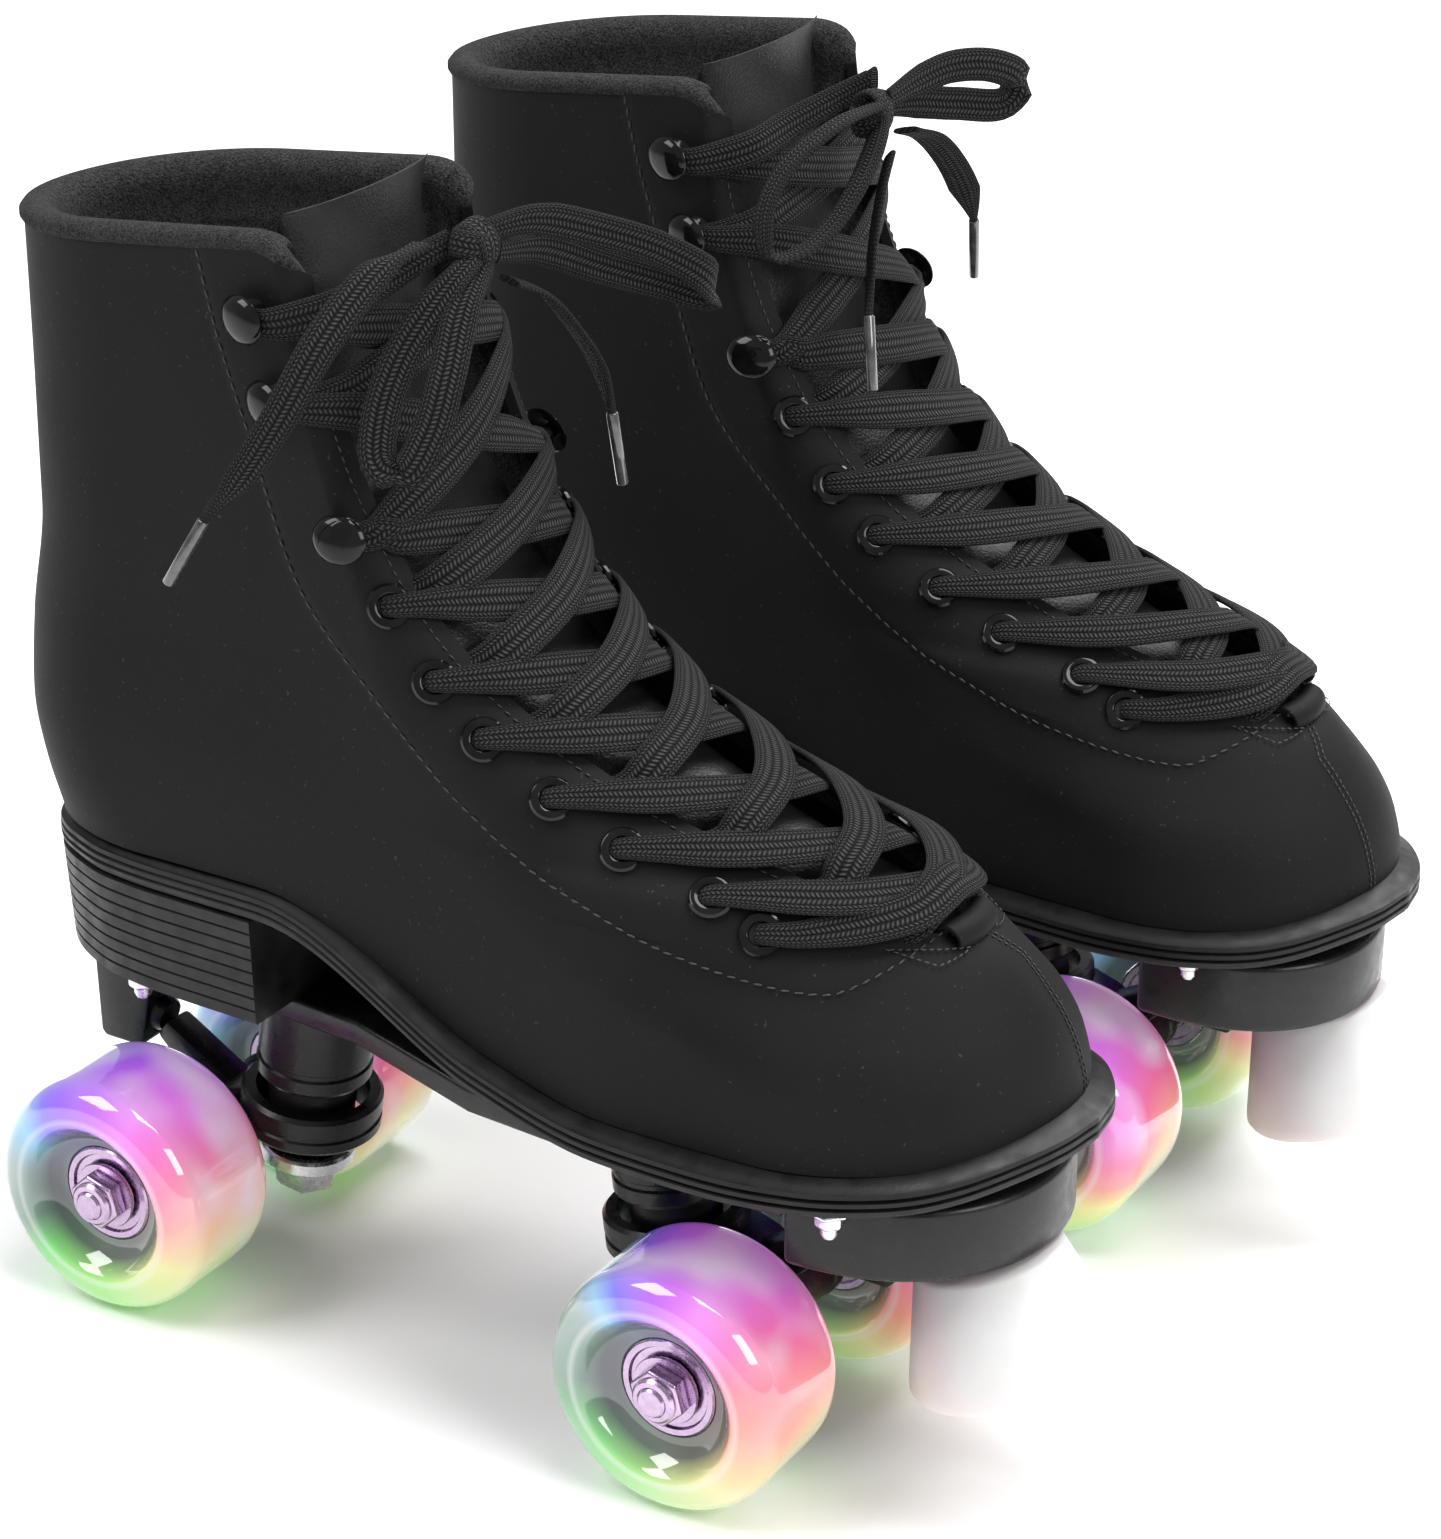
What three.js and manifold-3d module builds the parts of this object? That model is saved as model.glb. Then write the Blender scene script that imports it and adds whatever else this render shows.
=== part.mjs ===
// A pair of lace-up quad roller skates: boots, plates, trucks, wheels and toe stops.
// Units are millimetres, +Z is up, +X points to the toes. Each skate is drawn in its own frame,
// whose origin lies on the floor midway between the two axles, for the right foot.
import * as THREE from 'three';
import * as BufferGeometryUtils from 'three/addons/utils/BufferGeometryUtils.js';
import Module from 'manifold-3d';

const wasm = await Module();
wasm.setup();

// ---- Driving dimensions ----------------------------------------------------------------------
const gap = 0.3;                    // clearance between pieces that touch

const wheelRadius = 27;
const wheelWidth = 31.5;
const wheelLip = 5.5;               // rounding of the wheel's rim edges
const wheelBase = 143.5;            // between the two axles
const track = 65;                   // between the middles of the left and right wheels
const wheelFacets = 16;
const hubRecessRadius = 15;
const hubRecessDepth = 5;
const bearingRadius = 11;
const bearingWidth = 7;
const axleRadius = 4;
const axleNutRadius = 6.5;
const axleNutLength = 6;

const axleTubeRadius = 7.5;
const kingpinTilt = 7.5;            // degrees, lower end towards the axle
const kingpinInset = 24;            // from the axle to the kingpin at ring height
const kingpinRadius = 5;
const ringHeight = 37;              // middle of the hanger's ring above the floor
const ringRadius = 15.7;
const ringBore = 12.5;
const ringThickness = 9;
const pivotReach = 25.5;            // from the axle out to the pivot cup
const pivotHeight = 50;
const pivotRadius = 4.2;
const cupRadius = 8;
const washerRadius = 10.5;

const plateTop = 74;
const plateThickness = 6;
const bossRadius = 12.7;
const bossBottom = 45.5;
const noseBottom = 57.5;
const noseStart = 92;
const noseEnd = 134;
const noseHalfWidth = 34;

const stopTilt = 18;                // degrees, lower end forward
const stopTopRadius = 15.7;
const stopBottomRadius = 22.5;
const stopLength = 26;
const stopTopX = 121;
const stopTopZ = 53;
const stemRadius = 7.9;
const stemLength = 17;

const soleThickness = 7.5;
const heelFront = -36;
const heelTaper = 3;

const upperWall = 2.2;
const liningGap = 1.4;              // between the upper and the padded lining
const liningWall = 4.5;
const tongueThickness = 4;
const insoleThickness = 4;
const collarBack = 240;             // height of the collar at the back of the boot
const collarSlope = 0.07;           // the collar rises towards the front
const toeShift = 5;                 // the toe leans towards the big toe

const laceWidth = 9;
const laceThickness = 1.6;
const laceLift = 3.1;               // height of the lower lace's middle above the facing
const laceStep = 2.4;               // from the lower lace up to the one that crosses over it

const leftForward = 12;             // how far the left skate stands ahead of the right one
const skateSpacing = 134.5;         // between the two centrelines

// ---- Boot form -------------------------------------------------------------------------------
// Outlines of the boot at each height: where the front and back are, and how the ends round off.
const frontLine = [[78, 136], [90, 136], [97, 134.5], [103, 132], [110.5, 127], [118, 120],
  [124, 111], [129, 102], [132.5, 90], [139, 70], [147, 50], [158, 31], [170, 17], [187, 3],
  [205, -6], [225, -12], [260, -17]];
const backLine = [[78, -100], [103, -104], [118, -107.5], [132, -109], [150, -108], [175, -104.5],
  [200, -104.5], [260, -105]];
const frontRounding = [[78, 48], [97, 52], [104, 60], [110, 74], [115, 86], [120, 92], [131, 92],
  [136, 80], [143.5, 56], [153, 38], [163, 27], [177, 16], [190, 11], [218, 9], [260, 9]];
const backRounding = [[78, 42], [103, 40], [132, 34], [175, 34], [260, 40]];
// Half-widths before the ends round off, along the boot at five heights.
const widthHeights = [78, 105, 130, 165, 200, 260];
const widthProfiles = [
  [[-60, 28.5], [-30, 29], [0, 31.5], [30, 36], [60, 40], [140, 41]],
  [[-60, 32], [-30, 32], [0, 33], [30, 36.5], [60, 40], [140, 41]],
  [[-60, 33], [-30, 33], [0, 33.5], [30, 36], [60, 38], [140, 38]],
  [[-60, 31], [-30, 31.5], [0, 33.5], [30, 36], [60, 37], [140, 37]],
  [[-60, 30.5], [-30, 31], [0, 33], [30, 36], [60, 37], [140, 37]],
  [[-60, 31.5], [-30, 31.5], [0, 32], [30, 38], [60, 38], [140, 38]],
];
// Top face of the outsole along the boot.
const soleTop = [[-105, 104], [-80, 106], [-35, 106.5], [24, 85.5], [53, 81.5], [90, 82], [120, 84],
  [141, 89]];
const soleHalfWidth = [[-105, 0], [-102, 11], [-97, 20], [-88, 27], [-75, 32], [-60, 33.5],
  [-30, 34], [0, 36.5], [30, 40.5], [60, 44.5], [82, 45.5], [100, 43.5], [115, 38.5], [127, 30],
  [136, 18], [140, 9], [141.5, 0]];
const throatHalfWidth = [[124, 9], [130, 13], [136, 16], [147, 19], [163, 22.5], [177, 24.5],
  [200, 25.5], [225, 26], [270, 27]];
const eyelets = [[125, 27], [130, 27], [136, 28], [143.5, 29], [153, 30], [163, 30.5], [177, 31],
  [190, 30.5], [218, 30], [235, 30]];                     // height and distance from the middle

/** Reads a smooth curve through a list of [position, value] pairs. */
function along(table, at) {
  const last = table.length - 1;
  if (at <= table[0][0]) return table[0][1];
  if (at >= table[last][0]) return table[last][1];
  let i = 0;
  while (table[i + 1][0] < at) i += 1;
  const slope = (k) => {
    if (k < 0 || k >= last) return null;
    return (table[k + 1][1] - table[k][1]) / (table[k + 1][0] - table[k][0]);
  };
  const tangent = (k) => {
    const before = slope(k - 1);
    const after = slope(k);
    if (before === null) return after;
    if (after === null) return before;
    if (before * after <= 0) return 0;
    return 2 * before * after / (before + after);
  };
  const span = table[i + 1][0] - table[i][0];
  const t = (at - table[i][0]) / span;
  const a = table[i][1];
  const b = table[i + 1][1];
  const ta = tangent(i) * span;
  const tb = tangent(i + 1) * span;
  return a * (1 + 2 * t) * (1 - t) ** 2 + ta * t * (1 - t) ** 2
    + b * t * t * (3 - 2 * t) - tb * t * t * (1 - t);
}

/** Half-width of the boot before its ends round off. */
function fullHalfWidth(x, z) {
  return along(widthProfiles.map((profile, i) => [widthHeights[i], along(profile, x)]), z);
}

/** Sideways shift of the boot's middle line towards the big toe. */
function middleLine(x) {
  const t = THREE.MathUtils.clamp((x - 30) / 110, 0, 1);
  return toeShift * t * t;
}

/** Half-width of the boot's outside at a place along it and a height. */
function halfWidth(x, z) {
  const front = THREE.MathUtils.clamp((along(frontLine, z) - x) / along(frontRounding, z), 0, 1);
  const back = THREE.MathUtils.clamp((x - along(backLine, z)) / along(backRounding, z), 0, 1);
  const round = (t) => Math.sqrt(Math.max(0, 1 - (1 - t) ** 2));
  return fullHalfWidth(x, z) * round(front) * round(back);
}

/** A point on the front of the boot, at a height and a distance from the middle. */
function frontPoint(z, y) {
  const front = along(frontLine, z);
  const width = fullHalfWidth(front - 10, z);
  const x = front - along(frontRounding, z) * (1 - Math.sqrt(Math.max(0, 1 - (y / width) ** 2)));
  return new THREE.Vector3(x, y + middleLine(x), z);
}

/** The outward direction of the boot's front at a height and a distance from the middle. */
function frontNormal(z, y) {
  const step = 0.5;
  const up = frontPoint(z + step, y).sub(frontPoint(z - step, y));
  const across = frontPoint(z, y + step).sub(frontPoint(z, y - step));
  return new THREE.Vector3().crossVectors(across, up).normalize();
}

/** A point of the boot's outline at a height; turn runs once around from the toe. */
function outlinePoint(z, turn) {
  const front = along(frontLine, z);
  const back = along(backLine, z);
  const x = front - (front - back) * (1 - Math.cos(turn)) / 2;
  const side = turn > Math.PI ? 1 : -1;
  return new THREE.Vector3(x, middleLine(x) + side * halfWidth(x, z), z);
}

/** The outline point moved inwards, square to the boot's surface. */
function insetPoint(z, turn, inset) {
  const step = 0.04;
  const around = outlinePoint(z, turn + step).sub(outlinePoint(z, turn - step));
  const up = outlinePoint(z + 1, turn).sub(outlinePoint(z - 1, turn));
  const outward = new THREE.Vector3().crossVectors(up, around).normalize();
  return outlinePoint(z, turn).addScaledVector(outward, -inset);
}

// ---- Solid helpers ---------------------------------------------------------------------------
/** Turns a flat list of [x, y, z] rings into one closed solid; a ring's points run up and back. */
function loft(rings, closed = false) {
  const size = rings[0].length;
  const positions = rings.flat().flatMap((p) => [p.x, p.y, p.z]);
  const index = [];
  const spans = closed ? rings.length : rings.length - 1;
  for (let i = 0; i < spans; i += 1) {
    const a = i * size;
    const b = ((i + 1) % rings.length) * size;
    for (let j = 0; j < size; j += 1) {
      const k = (j + 1) % size;
      index.push(a + j, a + k, b + k, a + j, b + k, b + j);
    }
  }
  if (!closed) {
    const end = (rings.length - 1) * size;
    for (let j = 0; j < size / 2 - 1; j += 1) {
      const far = size - 1 - j;
      index.push(j, far, far - 1, j, far - 1, j + 1);
      index.push(end + j, end + j + 1, end + far - 1, end + j, end + far - 1, end + far);
    }
  }
  const geometry = new THREE.BufferGeometry();
  geometry.setAttribute('position', new THREE.Float32BufferAttribute(positions, 3));
  geometry.setIndex(index);
  return facingOut(geometry);
}

/** Flips the triangles of a closed mesh that is inside out. */
function facingOut(geometry) {
  const p = geometry.attributes.position;
  const index = geometry.index.array;
  let volume = 0;
  const [a, b, c] = [new THREE.Vector3(), new THREE.Vector3(), new THREE.Vector3()];
  for (let i = 0; i < index.length; i += 3) {
    a.fromBufferAttribute(p, index[i]);
    b.fromBufferAttribute(p, index[i + 1]);
    c.fromBufferAttribute(p, index[i + 2]);
    volume += a.dot(b.cross(c));
  }
  if (volume < 0) geometry.setIndex(Array.from(index).reverse());
  return geometry;
}

/** Merges a geometry's doubled vertices, which a solid needs. */
function welded(geometry) {
  const copy = geometry.clone();
  copy.deleteAttribute('normal');
  copy.deleteAttribute('uv');
  return facingOut(BufferGeometryUtils.mergeVertices(copy, 1e-4));
}

function toSolid(geometry) {
  const source = welded(geometry);
  return new wasm.Manifold(new wasm.Mesh({
    numProp: 3,
    vertProperties: new Float32Array(source.attributes.position.array),
    triVerts: new Uint32Array(source.index.array),
  }));
}

function fromSolid(solid) {
  const mesh = solid.getMesh();
  const geometry = new THREE.BufferGeometry();
  geometry.setAttribute('position', new THREE.Float32BufferAttribute(mesh.vertProperties, 3));
  geometry.setIndex(Array.from(mesh.triVerts));
  return geometry;
}

/** Joins the first list of geometries and cuts the second list away. */
function combined(joined, cuts = []) {
  let solid = toSolid(joined[0]);
  for (const piece of joined.slice(1)) solid = solid.add(toSolid(piece));
  for (const cut of cuts) solid = solid.subtract(toSolid(cut));
  return fromSolid(solid);
}

/** A turned solid about the Y axis through the origin, from [radius, y] points. */
function turned(profile, facets) {
  const points = profile.map(([r, y]) => new THREE.Vector2(r, y));
  return new THREE.LatheGeometry(points, facets);
}

/** A turned solid whose axis runs along Z. */
function turnedUp(profile, facets) {
  return turned(profile, facets).rotateX(Math.PI / 2);
}

/** A plain cylinder along Z from one height to another. */
function post(radius, low, high, facets = 16) {
  return turnedUp([[0, low], [radius, low], [radius, high], [0, high]], facets);
}

/** A flat outline in the XZ plane, extruded to both sides of the middle. */
function sidePlate(outline, width) {
  const shape = new THREE.Shape(outline.map(([x, z]) => new THREE.Vector2(x, z)));
  const geometry = new THREE.ExtrudeGeometry(shape, { depth: width, bevelEnabled: false });
  return geometry.rotateX(Math.PI / 2).translate(0, width / 2, 0);
}

/** A closed outline in the XY plane, extruded up between two heights. */
function deck(outline, low, high) {
  const shape = new THREE.Shape(outline.map(([x, y]) => new THREE.Vector2(x, y)));
  return new THREE.ExtrudeGeometry(shape, { depth: high - low, bevelEnabled: false })
    .translate(0, 0, low);
}

/** A flat strap along a route; each step has a middle, an outward direction and a width. */
function strap(steps, thickness) {
  const rings = steps.map(({ at, out, width }, i) => {
    const before = steps[Math.max(0, i - 1)].at;
    const after = steps[Math.min(steps.length - 1, i + 1)].at;
    const forward = after.clone().sub(before).normalize();
    const side = new THREE.Vector3().crossVectors(forward, out).normalize();
    const face = new THREE.Vector3().crossVectors(side, forward).normalize();
    const corner = (s, f) => at.clone()
      .addScaledVector(side, s * width / 2)
      .addScaledVector(face, f * thickness / 2);
    return [corner(-1, 1), corner(1, 1), corner(1, -1), corner(-1, -1)];
  });
  return loft(rings);
}

// ---- Boot ------------------------------------------------------------------------------------
const bootLevels = [80, 96, 108, 118, 126, 134, 143, 155, 172, 195, 222, 255];
const bootColumns = 20;

/** A band around the boot between two insets, from below the sole to above the collar. */
function bootBand(outer, inner) {
  const rings = [];
  for (let i = 0; i < bootColumns; i += 1) {
    const turn = (i + 0.5) / bootColumns * 2 * Math.PI;
    const outside = bootLevels.map((z) => insetPoint(z, turn, outer));
    const inside = bootLevels.map((z) => insetPoint(z, turn, inner));
    rings.push([...outside, ...inside.reverse()]);
  }
  return loft(rings, true);
}

/** Places along the sole where its pieces have a section, closer together at the ends. */
function soleStations(count = 26) {
  const first = soleHalfWidth[0][0];
  const length = soleHalfWidth[soleHalfWidth.length - 1][0] - first;
  const share = (i) => 0.002 + 0.996 * (1 - Math.cos(Math.PI * i / count)) / 2;
  return Array.from({ length: count + 1 }, (_, i) => first + length * share(i));
}

/** Everything below a height that follows the outsole's top face. */
function belowSole(lift) {
  const rings = [];
  for (const x of [-130, ...soleStations(), 160]) {
    const top = along(soleTop, x) + lift;
    rings.push([[-70, top], [70, top], [70, 40], [-70, 40]]
      .map(([y, z]) => new THREE.Vector3(x, y, z)));
  }
  return loft(rings);
}

/** Everything above the collar's slanted edge. */
function aboveCollar(lift) {
  const back = collarBack + lift;
  const height = (x) => back + collarSlope * (x + 101);
  return sidePlate([[-140, height(-140)], [170, height(170)], [170, 340], [-140, 340]], 140);
}

/** The opening down the front of the boot, widened on each side. */
function throat(extra) {
  const levels = [126, 130, 135, 141, 149, 160, 175, 195, 220, 245, 280];
  const rings = levels.map((z) => {
    const width = along(throatHalfWidth, z) + extra;
    const middle = frontPoint(Math.min(z, 255), 0);
    const out = frontNormal(Math.min(z, 255), 0);
    middle.z = z;
    out.y = 0;
    out.normalize();
    const corner = (side, depth) => middle.clone()
      .addScaledVector(out, depth)
      .add(new THREE.Vector3(0, side * width, 0));
    return [corner(-1, 14), corner(1, 14), corner(1, -26), corner(-1, -26)];
  });
  return loft(rings);
}

function upper() {
  const shell = bootBand(0, upperWall);
  return combined([shell], [belowSole(gap), aboveCollar(0), throat(0)]);
}

function lining() {
  const outer = upperWall + liningGap;
  const shell = bootBand(outer, outer + liningWall);
  return combined([shell], [belowSole(insoleThickness + 2 * gap), aboveCollar(1.5), throat(4.5)]);
}

function insole() {
  const rings = [];
  for (const x of soleStations().filter((at) => at > -94 && at < 124)) {
    const z = along(soleTop, x) + gap;
    const half = halfWidth(x, z + insoleThickness) - upperWall - liningWall;
    const c = middleLine(x);
    rings.push([[c - half, z + insoleThickness], [c + half, z + insoleThickness], [c + half, z],
      [c - half, z]].map(([y, height]) => new THREE.Vector3(x, y, height)));
  }
  return loft(rings);
}

/** The padded tongue behind the laces; it lies deeper towards the top. */
function tongue() {
  const levels = [129, 134, 140, 149, 160, 175, 195, 220, 249];
  const rings = levels.map((z) => {
    const width = along(throatHalfWidth, z) - 3;
    const depth = THREE.MathUtils.mapLinear(z, 129, 249, 3, 9);
    const row = (extra) => [-1, -0.5, 0, 0.5, 1].map((side) => {
      const y = side * width;
      return frontPoint(z, y).addScaledVector(frontNormal(z, y), -depth - extra);
    });
    return [...row(0), ...row(tongueThickness).reverse()];
  });
  return loft(rings);
}

function soleSection(x, top, bottom, half) {
  const c = middleLine(x);
  return [[c - half, top], [c + half, top], [c + half, bottom], [c - half, bottom]]
    .map(([y, z]) => new THREE.Vector3(x, y, z));
}

function outsole() {
  return loft(soleStations().map((x) => {
    const z = along(soleTop, x);
    return soleSection(x, z, z - soleThickness, Math.max(2, along(soleHalfWidth, x)));
  }));
}

/** The stacked heel between the outsole and the plate, narrower at its foot. */
function heelBlock() {
  const rings = [];
  const back = soleHalfWidth[0][0];
  for (let i = 0; i <= 14; i += 1) {
    const x = back + 0.5 + (heelFront - back - 0.5) * (1 - Math.cos(Math.PI / 2 * i / 14));
    const top = along(soleTop, x) - soleThickness - gap;
    const half = Math.max(2, along(soleHalfWidth, x) - 0.5);
    const section = soleSection(x, top, plateTop + gap, half);
    for (const p of section.slice(2)) {
      p.y *= 1 - heelTaper / 33;
      p.x += heelTaper * (1 - i / 14);
    }
    rings.push(section);
  }
  return loft(rings);
}

// ---- Laces -----------------------------------------------------------------------------------
const knots = { right: [-4, -4, 243], left: [-3, 2, 239] };

/** A flat section of lace on the boot's front; its face looks along inner. */
function laceSection(z, y, height, bend) {
  const out = frontNormal(z, y);
  const row = frontPoint(z + 1, y).sub(frontPoint(z - 1, y)).normalize();
  const outwards = new THREE.Vector3().crossVectors(row, out).multiplyScalar(-Math.sign(y || 1));
  const at = frontPoint(z, y).addScaledVector(out, height);
  if (bend) at.addScaledVector(outwards, laceStep / 2);
  const inner = bend ? outwards.negate() : out.multiplyScalar(height > laceLift ? -1 : 1);
  return ringAcross(at, row, inner);
}

function ringAcross(at, row, inner) {
  return [[-1, 1], [1, 1], [1, -1], [-1, -1]].map(([r, n]) => at.clone()
    .addScaledVector(row, r * laceWidth / 2)
    .addScaledVector(inner, n * laceThickness / 2));
}

/** One end of the lace: from the lowest eyelet on one side, zigzagging up, then to the knot. */
function laceEnd(firstSide, knot) {
  const rings = [];
  let side = firstSide;
  const heightFrom = (from) => laceLift + (from > 0 ? laceStep : 0);
  for (let i = 0; i + 1 < eyelets.length; i += 1) {
    const [low, high] = [eyelets[i], eyelets[i + 1]];
    for (const t of [0, 0.2, 0.5, 0.8, 1]) {
      const y = side * THREE.MathUtils.lerp(low[1], -high[1], t);
      rings.push(laceSection(THREE.MathUtils.lerp(low[0], high[0], t), y, heightFrom(side)));
    }
    side = -side;
    rings.push(laceSection(high[0], side * high[1], laceLift + laceStep / 2, true));
  }
  const [z, y] = eyelets[eyelets.length - 1];
  const start = laceSection(z, side * y, heightFrom(side));
  const offset = knot.clone().sub(start[0].clone().add(start[2]).multiplyScalar(0.5));
  rings.push(start, start.map((p) => p.clone().addScaledVector(offset, 0.5)));
  rings.push(start.map((p) => p.clone().addScaledVector(offset, 0.9)));
  return loft(rings);
}

/** The crossing runs between the eyelets, the bar below them and the knot that they end in. */
function lacing(foot) {
  const knot = new THREE.Vector3(...knots[foot]);
  const [z, y] = eyelets[0];
  const bar = strap([-1, -0.5, 0, 0.5, 1].map((t) => {
    const out = frontNormal(z, t * y);
    const at = frontPoint(z, t * y).addScaledVector(out, laceLift + laceStep / 2);
    return { at, out, width: laceWidth };
  }), laceThickness + laceStep);
  const ball = new THREE.SphereGeometry(7, 10, 8).scale(0.8, 1.1, 1).translate(...knot.toArray());
  return combined([laceEnd(-1, knot), laceEnd(1, knot), bar, ball]);
}

// Routes of the free laces from the knot, point by point, and the way their width lies.
const routes = {
  right: {
    loop_a: [[4, -1, 246], [8, 10, 246], [14, 24, 241], [21, 36, 235], [26, 45, 228], [24, 50, 222],
      [17, 44, 225], [10, 31, 231], [6, 16, 238], [5, 2, 241]],
    loop_b: [[5, -6, 242], [3, -15, 236], [0, -24, 226], [-1, -30, 215], [1, -33, 207], [6, -32, 206],
      [9, -28, 213], [10, -23, 224], [8, -15, 234], [6, -5, 240]],
    tail_a: [[-1, -15, 246], [-4, -25, 243], [-8, -38, 232], [-13, -46, 218], [-20, -51, 205],
      [-25, -53, 199], [-34, -56, 183]],
    tail_b: [[5, 6, 234], [8, 13, 230], [10, 21, 221], [11, 28, 211], [12, 32, 199], [13, 34, 184]],
  },
  left: {
    loop_a: [[6, 1, 242], [8, -7, 244], [12, -16, 246], [18, -25, 245], [21, -31, 241],
      [19, -29, 236], [12, -19, 237], [7, -9, 239], [5, 0, 240]],
    loop_b: [[7, 6, 242], [3, 18, 240], [-4, 29, 231], [-5, 35, 222], [-2, 37, 215], [4, 35, 216],
      [8, 28, 221], [10, 20, 229], [9, 12, 235], [6, 4, 239]],
    tail_a: [[11, 9, 232], [12, 14, 226], [13, 19, 216], [14, 22, 205], [15, 24, 200], [18, 27, 185]],
    tail_b: [[6, -7, 233], [8, -14, 230], [9, -23, 222], [9, -31, 212], [8, -37, 203], [6, -41, 190]],
  },
};
const widthLies = {
  loop_a: [0.1, -0.2, 0.95], loop_b: [0.85, 0.5, 0.1], tail_a: [0.6, 0.7, 0.3], tail_b: [0.9, -0.4, 0],
};
const freeLaceWidth = 7.5;

/** A free length of flat lace through the points of a route. */
function freeLace(foot, name, count) {
  const curve = new THREE.CatmullRomCurve3(routes[foot][name].map((p) => new THREE.Vector3(...p)));
  const across = new THREE.Vector3(...widthLies[name]);
  const steps = [];
  for (let i = 0; i <= count; i += 1) {
    const out = curve.getTangentAt(i / count).cross(across).normalize();
    steps.push({ at: curve.getPointAt(i / count), out, width: freeLaceWidth });
  }
  return strap(steps, laceThickness);
}

function laceBow(foot) {
  const [x, y, z] = knots[foot];
  const core = new THREE.SphereGeometry(5, 8, 6).scale(0.5, 1.1, 1).translate(x + 9.4, y + 2, z);
  return combined([freeLace(foot, 'loop_a', 14), freeLace(foot, 'loop_b', 14), core]);
}

// ---- Plate, trucks and wheels ----------------------------------------------------------------
/** The two trucks of a skate, each with its name and its end: -1 is the rear and 1 the front. */
function trucks() {
  return [['rear', -1], ['front', 1]];
}

const ringX = wheelBase / 2 - kingpinInset;
const pivotX = wheelBase / 2 + pivotReach;

/** Puts a piece drawn upright about a kingpin, with its origin at the ring's middle, in place. */
function onKingpin(geometry, end) {
  return geometry.rotateY(-end * THREE.MathUtils.degToRad(kingpinTilt))
    .translate(end * ringX, 0, ringHeight);
}

/** A cylinder along the line on which a truck turns, from a distance past the pivot's middle. */
function onPivotLine(radius, from, to, end) {
  const lean = Math.atan2(pivotHeight - ringHeight, pivotX - ringX);
  const rod = turned([[0, from], [radius, from], [radius, to], [0, to]], 12);
  return rod.rotateZ(-Math.PI / 2).rotateY(-lean)
    .applyMatrix4(new THREE.Matrix4().makeRotationZ(end < 0 ? Math.PI : 0))
    .translate(end * pivotX, 0, pivotHeight);
}

function plate() {
  const outline = [[-98, -14], [-60, -17], [-20, -20], [16, -31], [60, -34], [noseStart, -33],
    [noseStart, 33], [60, 34], [16, 31], [-20, 20], [-60, 17], [-98, 14]];
  const nose = [];
  for (let i = 0; i <= 12; i += 1) {
    const turn = -Math.PI / 2 + Math.PI * i / 12;
    const x = noseStart + (noseEnd - noseStart) * Math.cos(turn) ** 0.8;
    nose.push([x, noseHalfWidth * Math.sin(turn) + middleLine(x)]);
  }
  const parts = [deck(outline, plateTop - plateThickness, plateTop), deck(nose, noseBottom, plateTop)];
  const cuts = [stopFrame(post(stemRadius + gap, -2, stemLength + 1))];
  for (const [, end] of trucks()) {
    const bossTop = plateTop - plateThickness / 2 - ringHeight;
    parts.push(onKingpin(turnedUp([[0, bossBottom - ringHeight], [bossRadius - 1, bossBottom
      - ringHeight], [bossRadius, bossBottom + 4 - ringHeight], [bossRadius, bossTop],
    [0, bossTop]], 16), end));
    cuts.push(onKingpin(post(kingpinRadius + 2 * gap, 0, bossTop - 8, 10), end));
    const cup = [[-6, -10], [7, -10], [11, 22], [-12, 22]]
      .map(([x, z]) => [end * (pivotX + x - 1), pivotHeight + z]);
    parts.push(sidePlate(cup, 2 * cupRadius));
    cuts.push(onPivotLine(pivotRadius + 2 * gap, -20, 3, end));
  }
  return combined(parts, cuts);
}

/** The tube around the axle, the ring around the kingpin and the arm out to the pivot. */
function hanger(end) {
  const axleX = end * wheelBase / 2;
  const tubeHalf = track / 2 - wheelWidth / 2 - gap;
  const tube = turned([[0, -tubeHalf], [axleTubeRadius, -tubeHalf], [axleTubeRadius, tubeHalf],
    [0, tubeHalf]], 12).translate(axleX, 0, wheelRadius);
  const half = ringThickness / 2;
  const ring = onKingpin(post(ringRadius, -half, half, 16), end);
  const web = sidePlate([[13, 33], [13, 41], [22, 38], [30, 32], [25, 21], [18, 26]]
    .map(([x, z]) => [end * (ringX + x - 2), z]), 18);
  const arm = sidePlate([[20, 37], [31, 33], [42, 44], [39, 48]]
    .map(([x, z]) => [end * (ringX + x - 2), z]), 8);
  const pin = onPivotLine(pivotRadius, -11, 2.4, end);
  const bores = [
    turned([[0, -40], [axleRadius + gap, -40], [axleRadius + gap, 40], [0, 40]], 8)
      .translate(axleX, 0, wheelRadius),
    onKingpin(post(ringBore, -20, 20, 16), end),
  ];
  return combined([tube, ring, web, arm, pin], bores);
}

/** The bolt through the ring, with its cup washer and lock nut. */
function kingpin(end) {
  const top = plateTop - plateThickness / 2 - ringHeight - 8 - gap;
  return onKingpin(turnedUp([[0, -23], [3.5, -23], [8, -21], [8, -14], [washerRadius, -14],
    [washerRadius, -10], [kingpinRadius, -9.5], [kingpinRadius, top], [0, top]], 10), end);
}

/** The rubber barrel inside the ring, between the cup washer and the plate's boss. */
function cushion(end) {
  const top = bossBottom - ringHeight - gap;
  const bore = kingpinRadius + gap;
  return onKingpin(turnedUp([[bore, -9.2], [8.8, -9.2], [9.6, -4], [9.6, 3], [8.8, top],
    [bore, top], [bore, -9.2]], 10), end);
}

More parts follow.
